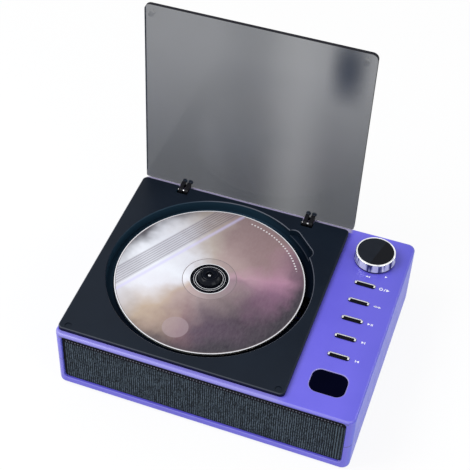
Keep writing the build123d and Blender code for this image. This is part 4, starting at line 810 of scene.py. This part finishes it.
finishes = {
    "purple_case": case_paint(),
    "black_deck": deck_plastic(),
    "black_plastic": moulded("black_plastic", BLACK, (0.009, 0.009, 0.011), 0.38, Specular_IOR_Level=0.12),
    "smoked_acrylic": lid_acrylic(),
    "clear_rubber": clear_plastic("clear_rubber", (0.08, 0.085, 0.10), 0.16, 0.3, specular=0.1),
    "chrome_trim": knob_chrome(),
    "steel": plain_steel(),
    "black_rubber": moulded("black_rubber", (0.018, 0.018, 0.018), (0.026, 0.026, 0.025), 0.8, grain=0.4 * MM,
                            depth=0.03 * MM),
    "board_green": circuit_board("circuit_board", (0.010, 0.10, 0.035), (0.03, 0.22, 0.08)),
    "window_black": moulded("window_gloss", (0.0004, 0.0006, 0.006), (0.0006, 0.0010, 0.009), 0.08,
                            spread=0.03, depth=0.002 * MM, Specular_IOR_Level=0.01),
    "display_glass": moulded("display_glass", (0.012, 0.016, 0.018), (0.018, 0.022, 0.026), 0.1, spread=0.04,
                             depth=0.002 * MM),
    "grille_fabric": cloth_material(),
    "cone_paper": cone_paper(),
    "magnet_iron": moulded("magnet_ferrite", (0.05, 0.05, 0.052), (0.075, 0.072, 0.07), 0.6, depth=0.03 * MM),
    "chassis_plastic": moulded("chassis_plastic", (0.035, 0.035, 0.038), (0.05, 0.05, 0.052), 0.5),
    "gear_white": moulded("gear_acetal", (0.74, 0.72, 0.66), (0.80, 0.78, 0.72), 0.42),
    "hub_plastic": moulded("hub_gloss", (0.002, 0.003, 0.006), (0.004, 0.005, 0.009), 0.18, spread=0.04,
                           depth=0.003 * MM, Specular_IOR_Level=0.10),
    "lens_glass": moulded("lens_coating", (0.10, 0.13, 0.30), (0.16, 0.12, 0.34), 0.06, spread=0.03,
                          depth=0.001 * MM),
    "disc_polycarbonate": disc_label(),
    "encoder_metal": brushed("encoder_metal", (0.52, 0.52, 0.53), (0.44, 0.44, 0.46), 0.34,
                             stretch=(1, 1, 0.1)),
    "battery_wrap": battery_film(),
}
for part in frame["record"]["subparts"]:
    shown = nodes[part["node"]]
    for place in shown.material_slots:
        place.material = finishes[part["material_slot"]]

gloss = button_gloss()
for name in BUTTON_NAMES:
    nodes[name].material_slots[0].material = gloss
nodes["knob_cap"].material_slots[0].material = cap_gloss()
nodes["button_bezels"].material_slots[0].material = bezel_chrome()


# ---- mesh building ----
def make_object(name, mesh, materials, body, outward=True):
    """Object made of this bmesh, with its faces turned outward where asked, riding this body."""
    if outward:
        bmesh.ops.recalc_face_normals(mesh, faces=mesh.faces)
    data = bpy.data.meshes.new(name)
    mesh.to_mesh(data)
    mesh.free()
    for one in materials:
        data.materials.append(one)
    thing = bpy.data.objects.new(name, data)
    bpy.context.collection.objects.link(thing)
    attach(thing, body)
    return thing


def sharpened(thing, angle):
    """Edges that fold by more than this angle, in degrees, shade sharp."""
    thing.data.set_sharp_from_angle(angle=math.radians(angle))


def turned(name, profile, materials, body, steps=192):
    """Closed outline of (radius, height, finish) turned round the disc's axis."""
    mesh = bmesh.new()
    turns = [2 * math.pi * i / steps for i in range(steps)]
    rings = [[mesh.verts.new((DISC[0] + radius * math.cos(turn), DISC[1] + radius * math.sin(turn), height))
              for turn in turns] for radius, height, _ in profile]
    for k, (_, _, finish) in enumerate(profile):
        first, second = rings[k], rings[(k + 1) % len(rings)]
        for i in range(steps):
            j = (i + 1) % steps
            face = mesh.faces.new([first[i], first[j], second[j], second[i]])
            face.material_index = finish
            face.smooth = True
    thing = make_object(name, mesh, materials, body)
    sharpened(thing, 30)
    return thing


def slab(mesh, outline, low, high):
    """Flat shape with this outline, from low to high, added to a bmesh."""
    bottom = [mesh.verts.new((x, y, low)) for x, y in outline]
    top = [mesh.verts.new((x, y, high)) for x, y in outline]
    mesh.faces.new(list(reversed(bottom)))
    mesh.faces.new(top)
    count = len(outline)
    for i in range(count):
        j = (i + 1) % count
        mesh.faces.new([bottom[i], bottom[j], top[j], top[i]])


# ---- disc ----
def make_disc():
    """Disc with a clear hub ring, a printed label, a silver playing side and a stacking ring under it."""
    hole, clear_end, groove_start, label_start, silver_start, label_end, edge_line, rim_end, outer = (
        radius * MM for radius in (7.5, 12.1, 16.7, 17.3, 18.2, 58.75, 59.15, 59.7, 60.0))
    top, low = DISC_TOP, DISC_BOTTOM
    groove = top - 0.05 * MM
    under = low - 0.14 * MM
    bevel = 0.2 * MM
    clear, label, silver, rim, dark, pale = range(6)
    profile = [
        (hole + bevel, top, clear), (8.5 * MM, top, rim), (8.8 * MM, top + 0.02 * MM, clear),
        (9.8 * MM, top, rim), (10.0 * MM, top, clear), (clear_end, top, rim),
        (clear_end + 0.45 * MM, top, pale), (groove_start, top, pale),
        (groove_start + 0.1 * MM, groove, dark), (label_start - 0.1 * MM, groove, label),
        (label_start, top, label), (label_end, top, dark), (edge_line, top, rim), (rim_end, top, clear),
        (outer - bevel, top, clear), (outer, top - bevel, clear), (outer, low + bevel, clear),
        (outer - bevel, low, silver), (silver_start + 5 * MM, low, silver),
        (silver_start, low, clear), (label_start, low, clear), (label_start, under, clear),
        (groove_start, under, clear), (groove_start, low, clear), (hole + bevel, low, clear),
        (hole, low + bevel, clear), (hole, top - bevel, clear)]
    # The disc_rim finish is a painted highlight on thin rings round the hub and along the disc's outer edge.
    materials = [clear_plastic("disc_clear", (0.02, 0.022, 0.028), 0.25, specular=0.2),
                 finishes["disc_polycarbonate"], disc_silver(),
                 clear_plastic("disc_rim", (0.85, 0.85, 0.88), 0.95, 0.15),
                 moulded("disc_groove", (0.20, 0.16, 0.17), (0.26, 0.22, 0.22), 0.3),
                 disc_label_inner()]
    thing = turned("compact_disc", profile, materials, "loose_disc")
    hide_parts("disc")


# ---- hub ----
def make_hub():
    """Turntable plate with shallow grooves, and the nose that the disc sits on."""
    top = hub_high[2]
    plate = DISC_BOTTOM
    groove = plate - 0.15 * MM
    under = plate - 1.5 * MM
    straight = top - 2 * MM
    lip = 0.3 * MM
    gloss, bright = range(2)
    profile = [
        (3.5, hub_low[2], gloss), (3.5, under, gloss), (14.3, under, gloss), (14.5, under + lip, gloss),
        (14.5, plate - lip, gloss), (14.3, plate, gloss), (12.6, plate, gloss), (12.5, groove, bright),
        (12.1, groove, gloss), (12.0, plate, gloss), (10.9, plate, gloss), (10.8, groove, gloss),
        (10.4, groove, gloss), (10.3, plate, gloss), (7.45, plate, gloss), (7.45, straight, gloss),
        (7.1, straight + 0.45 * MM, gloss), (5.9, top - 0.15 * MM, gloss), (5.5, top, gloss),
        (5.1, top, gloss), (4.8, top - 0.25 * MM, gloss), (4.5, top - 0.25 * MM, gloss),
        (4.2, top - 0.05 * MM, gloss), (2.7, top - 0.05 * MM, gloss), (2.4, top - 0.4 * MM, gloss),
        (2.4, straight + 0.6 * MM, gloss), (1.0, straight + 0.6 * MM, gloss), (1.0, hub_low[2], gloss)]
    bright_ring = brushed("hub_bright", (0.70, 0.71, 0.74), (0.62, 0.62, 0.66), 0.16)
    thing = turned("disc_hub", [(radius * MM, height, finish) for radius, height, finish in profile],
                   [finishes["hub_plastic"], bright_ring], "spindle", steps=96)
    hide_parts("turntable_hub")


# ---- speaker grille ----
RIB_PITCH = 0.8 * MM
RIB_STEPS = 4
RIB_HEIGHT = 0.16 * MM
CLOTH_ROWS = 44
CLOTH_CORNER = 2.8 * MM
CLOTH_LEAST = 0.05 * MM
CLOTH_SEED = 11
# Upright folds of the modelled cloth, in millimetres from its right end.
FOLD_LINES = (2.2, 3.7, 5.2, 6.6)
FOLD_DEPTH, FOLD_REACH = 0.22 * MM, 0.35 * MM
TUCK_DEPTH, TUCK_REACH = 0.25 * MM, 0.6 * MM


def cloth_half_width(z):
    """How far the rounded corners let the cloth reach at this height, as a share of the full half width."""
    half = (cloth_high[0] - cloth_low[0]) / 2
    edge = min(z - cloth_low[2], cloth_high[2] - z)
    if edge >= CLOTH_CORNER:
        return half
    inward = CLOTH_CORNER - edge
    return half - CLOTH_CORNER + math.sqrt(max(0.0, CLOTH_CORNER ** 2 - inward ** 2))


def make_cloth():
    """Cloth of uneven upright ribs, folded near its right end and tucked back along its edges."""
    chance = random.Random(CLOTH_SEED)
    width = cloth_high[0] - cloth_low[0]
    height = cloth_high[2] - cloth_low[2]
    columns = int(width / RIB_PITCH) * RIB_STEPS
    front, back = cloth_low[1], cloth_high[1]
    centre = (cloth_low[0] + cloth_high[0]) / 2
    depths = [chance.uniform(0.45, 1.0) for _ in range(columns // RIB_STEPS + 2)]
    leans = [chance.uniform(0, 2 * math.pi) for _ in range(columns // RIB_STEPS + 2)]
    mesh = bmesh.new()
    grid = []
    for row in range(CLOTH_ROWS + 1):
        z = cloth_low[2] + height * row / CLOTH_ROWS
        half = cloth_half_width(z)
        line = []
        for column in range(columns + 1):
            across = column / columns
            x = centre - half + 2 * half * across
            rib = column // RIB_STEPS
            wave = 0.5 - 0.5 * math.cos(2 * math.pi * (column % RIB_STEPS) / RIB_STEPS)
            uneven = depths[rib] * (0.8 + 0.2 * math.sin(leans[rib] + 9 * math.pi * row / CLOTH_ROWS))
            y = front + RIB_HEIGHT * (1 - wave * uneven)
            for fold in FOLD_LINES:
                gap = abs(cloth_high[0] - x - fold * MM)
                y += FOLD_DEPTH * max(0.0, 1 - gap / FOLD_REACH)
            edge = min(z - cloth_low[2], cloth_high[2] - z, half - abs(x - centre))
            y += TUCK_DEPTH * max(0.0, 1 - edge / TUCK_REACH)
            line.append(mesh.verts.new((x, min(y, back - CLOTH_LEAST), z)))
        grid.append(line)
    for row in range(CLOTH_ROWS):
        for column in range(columns):
            face = mesh.faces.new([grid[row][column], grid[row][column + 1], grid[row + 1][column + 1],
                                   grid[row + 1][column]])
            face.smooth = True
    rim = ([grid[0][c] for c in range(columns + 1)] + [grid[r][columns] for r in range(1, CLOTH_ROWS + 1)]
           + [grid[CLOTH_ROWS][c] for c in range(columns - 1, -1, -1)]
           + [grid[r][0] for r in range(CLOTH_ROWS - 1, 0, -1)])
    behind = [mesh.verts.new((v.co.x, back, v.co.z)) for v in rim]
    count = len(rim)
    for i in range(count):
        j = (i + 1) % count
        mesh.faces.new([rim[j], rim[i], behind[i], behind[j]])
    mesh.faces.new(behind)
    thing = make_object("grille_ribbed_cloth", mesh, [finishes["grille_fabric"]], "case")
    sharpened(thing, 60)
    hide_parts("grille_cloth")
    return thing


STITCH_PITCH = 1.9 * MM
STITCH_SIZE = (0.95 * MM, 0.34 * MM, 1.15 * MM)
STITCH_LEVEL = HEM_LOW + 1.6 * MM
STITCH_SUNK = 0.12 * MM
STITCH_MARGIN = 3 * MM


def make_stitches():
    """Row of small stitches along the top hem of the grille cloth."""
    mesh = bmesh.new()
    reach = (cloth_high[0] - cloth_low[0]) / 2 - STITCH_MARGIN
    count = int(2 * reach / STITCH_PITCH)
    centre = (cloth_high[0] + cloth_low[0]) / 2
    for i in range(count + 1):
        x = centre - reach + 2 * reach * i / count
        verts = bmesh.ops.create_icosphere(mesh, subdivisions=2, radius=0.5)["verts"]
        bmesh.ops.scale(mesh, vec=STITCH_SIZE, verts=verts)
        bmesh.ops.translate(mesh, vec=(x, cloth_low[1] + STITCH_SUNK, STITCH_LEVEL), verts=verts)
    for face in mesh.faces:
        face.smooth = True
    thread = moulded("stitch_thread", (0.06, 0.065, 0.09), (0.12, 0.125, 0.16), 0.7)
    return make_object("grille_stitches", mesh, [thread], "case", outward=False)


# ---- printed marks ----
MARK_LOW = CASE_TOP - 0.01 * MM
MARK_HIGH = CASE_TOP + 0.03 * MM


def triangle(x, y, size, facing):
    """Triangle that points to +X where facing is 1, and to -X where it is -1."""
    back, tip = x - facing * size / 2, x + facing * size / 2
    half = size * 0.55
    return [(back, y - half), (tip, y), (back, y + half)][::facing]


def bar(x, y, width, height, slant=0.0):
    return [(x - width / 2 - slant, y - height / 2), (x + width / 2 - slant, y - height / 2),
            (x + width / 2 + slant, y + height / 2), (x - width / 2 + slant, y + height / 2)]


ARC_STEPS = 20


def arc(x, y, radius, width, start, end):
    """Band pieces along part of a circle, angles in degrees."""
    inner, outer = radius - width / 2, radius + width / 2
    turns = [math.radians(start + (end - start) * i / ARC_STEPS) for i in range(ARC_STEPS + 1)]
    edges = [[(x + reach * math.cos(turn), y + reach * math.sin(turn)) for reach in (inner, outer)]
             for turn in turns]
    return [[first[0], first[1], second[1], second[0]] for first, second in zip(edges, edges[1:])]


def mark_outlines(rows):
    """Outlines in millimetres of the marks beside the five buttons and by the knob."""
    x = 82.7
    power, repeat, play, following, previous = rows
    shapes = arc(81.7, power, 0.95, 0.46, -240, 60) + [bar(81.7, power + 0.9, 0.46, 0.9)]
    shapes += [bar(84.0, power, 0.44, 2.3, 0.35), triangle(86.0, power, 2.0, 1)]
    shapes += [bar(x - 1.0, repeat, 1.7, 0.5), triangle(x - 0.1, repeat, 1.5, 1)]
    shapes += [bar(x + 1.0, repeat, 1.2, 0.5), triangle(x + 2.0, repeat, 1.5, 1)]
    shapes += [triangle(x - 0.75, play, 1.6, 1)] + [bar(x + gap, play, 0.42, 1.7) for gap in (0.65, 1.4)]
    shapes += [triangle(x - 0.5, following, 1.6, 1), bar(x + 0.75, following, 0.45, 1.75)]
    shapes += [triangle(x + 0.35, previous, 1.6, -1), bar(x - 0.9, previous, 0.45, 1.75)]
    shapes += [triangle(70.6, 37.0, 1.3, -1), triangle(72.1, 37.0, 1.3, -1), triangle(82.2, 40.5, 1.4, 1)]
    return shapes


def make_marks():
    mesh = bmesh.new()
    for outline in mark_outlines([row / MM for row in BUTTON_ROWS]):
        slab(mesh, [(a * MM, b * MM) for a, b in outline], MARK_LOW, MARK_HIGH)
    make_object("printed_marks", mesh, [white_print()], "case")


# ---- floor, lights and world ----
def seen_by_eye(tree):
    """1 for rays from the camera, off gloss or through glass, 0 for the rest."""
    path = add(tree, "LightPath").outputs
    direct_or_gloss = larger(tree, path["Is Camera Ray"], path["Is Glossy Ray"])
    return larger(tree, direct_or_gloss, path["Is Transmission Ray"])


WHITE = (1, 1, 1, 1)
FLOOR_SIDE = 4.0
FLOOR_SHOWN_WHITE = 0.90
AMBIENT = 0.52


def make_floor():
    half = FLOOR_SIDE / 2
    level = feet_low[2]
    data = bpy.data.meshes.new("floor")
    corners = [(-half, -half, level), (half, -half, level), (half, half, level), (-half, half, level)]
    data.from_pydata(corners, [], [(0, 1, 2, 3)])
    floor = bpy.data.objects.new("floor", data)
    bpy.context.collection.objects.link(floor)
    made = material("floor_white", (0.92, 0.92, 0.925), 0.9, Specular_IOR_Level=0.1)
    tree = made.node_tree
    glow = add(tree, "Emission", Color=WHITE, Strength=1.0)
    share = times(tree, seen_by_eye(tree), FLOOR_SHOWN_WHITE)
    mix = add(tree, "MixShader", i0=share, i1=shader_of(made).outputs[0], i2=glow.outputs[0])
    tree.links.new(mix.outputs[0], tree.nodes["Material Output"].inputs["Surface"])
    data.materials.append(made)


def make_world():
    world = bpy.data.worlds.new("world")
    bpy.context.scene.world = world
    world.use_nodes = True
    tree = world.node_tree
    ambient = tree.nodes["Background"]
    ambient.inputs["Color"].default_value = (0.95, 0.97, 1.0, 1)
    ambient.inputs["Strength"].default_value = AMBIENT
    white = add(tree, "Background", Color=WHITE, Strength=1.0)
    mix = add(tree, "MixShader", i0=seen_by_eye(tree), i1=ambient.outputs[0], i2=white.outputs[0])
    tree.links.new(mix.outputs[0], tree.nodes["World Output"].inputs["Surface"])


def area_light(name, place, target, size, power, colour=(1, 1, 1)):
    data = bpy.data.lights.new(name, "AREA")
    data.shape = "RECTANGLE"
    data.size, data.size_y = size
    data.energy = power
    data.color = colour
    light = bpy.data.objects.new(name, data)
    light.location = place
    light.rotation_euler = (Vector(target) - Vector(place)).to_track_quat("-Z", "Y").to_euler()
    bpy.context.collection.objects.link(light)


make_disc()
make_hub()
cloth = make_cloth()
stitches = make_stitches()
make_marks()
make_floor()
make_world()
area_light("key", (-0.55, -0.25, 0.85), (0, 0, 0.03), (0.6, 0.6), 7.0)
area_light("fill", (0.75, -0.45, 0.55), (0, 0, 0.03), (0.5, 0.5), 2.6, (0.95, 0.97, 1.0))
area_light("back", (0.95, 0.55, 0.6), (0, 0, 0.05), (0.6, 0.4), 2.2)

bpy.context.scene.view_settings.view_transform = "Standard"
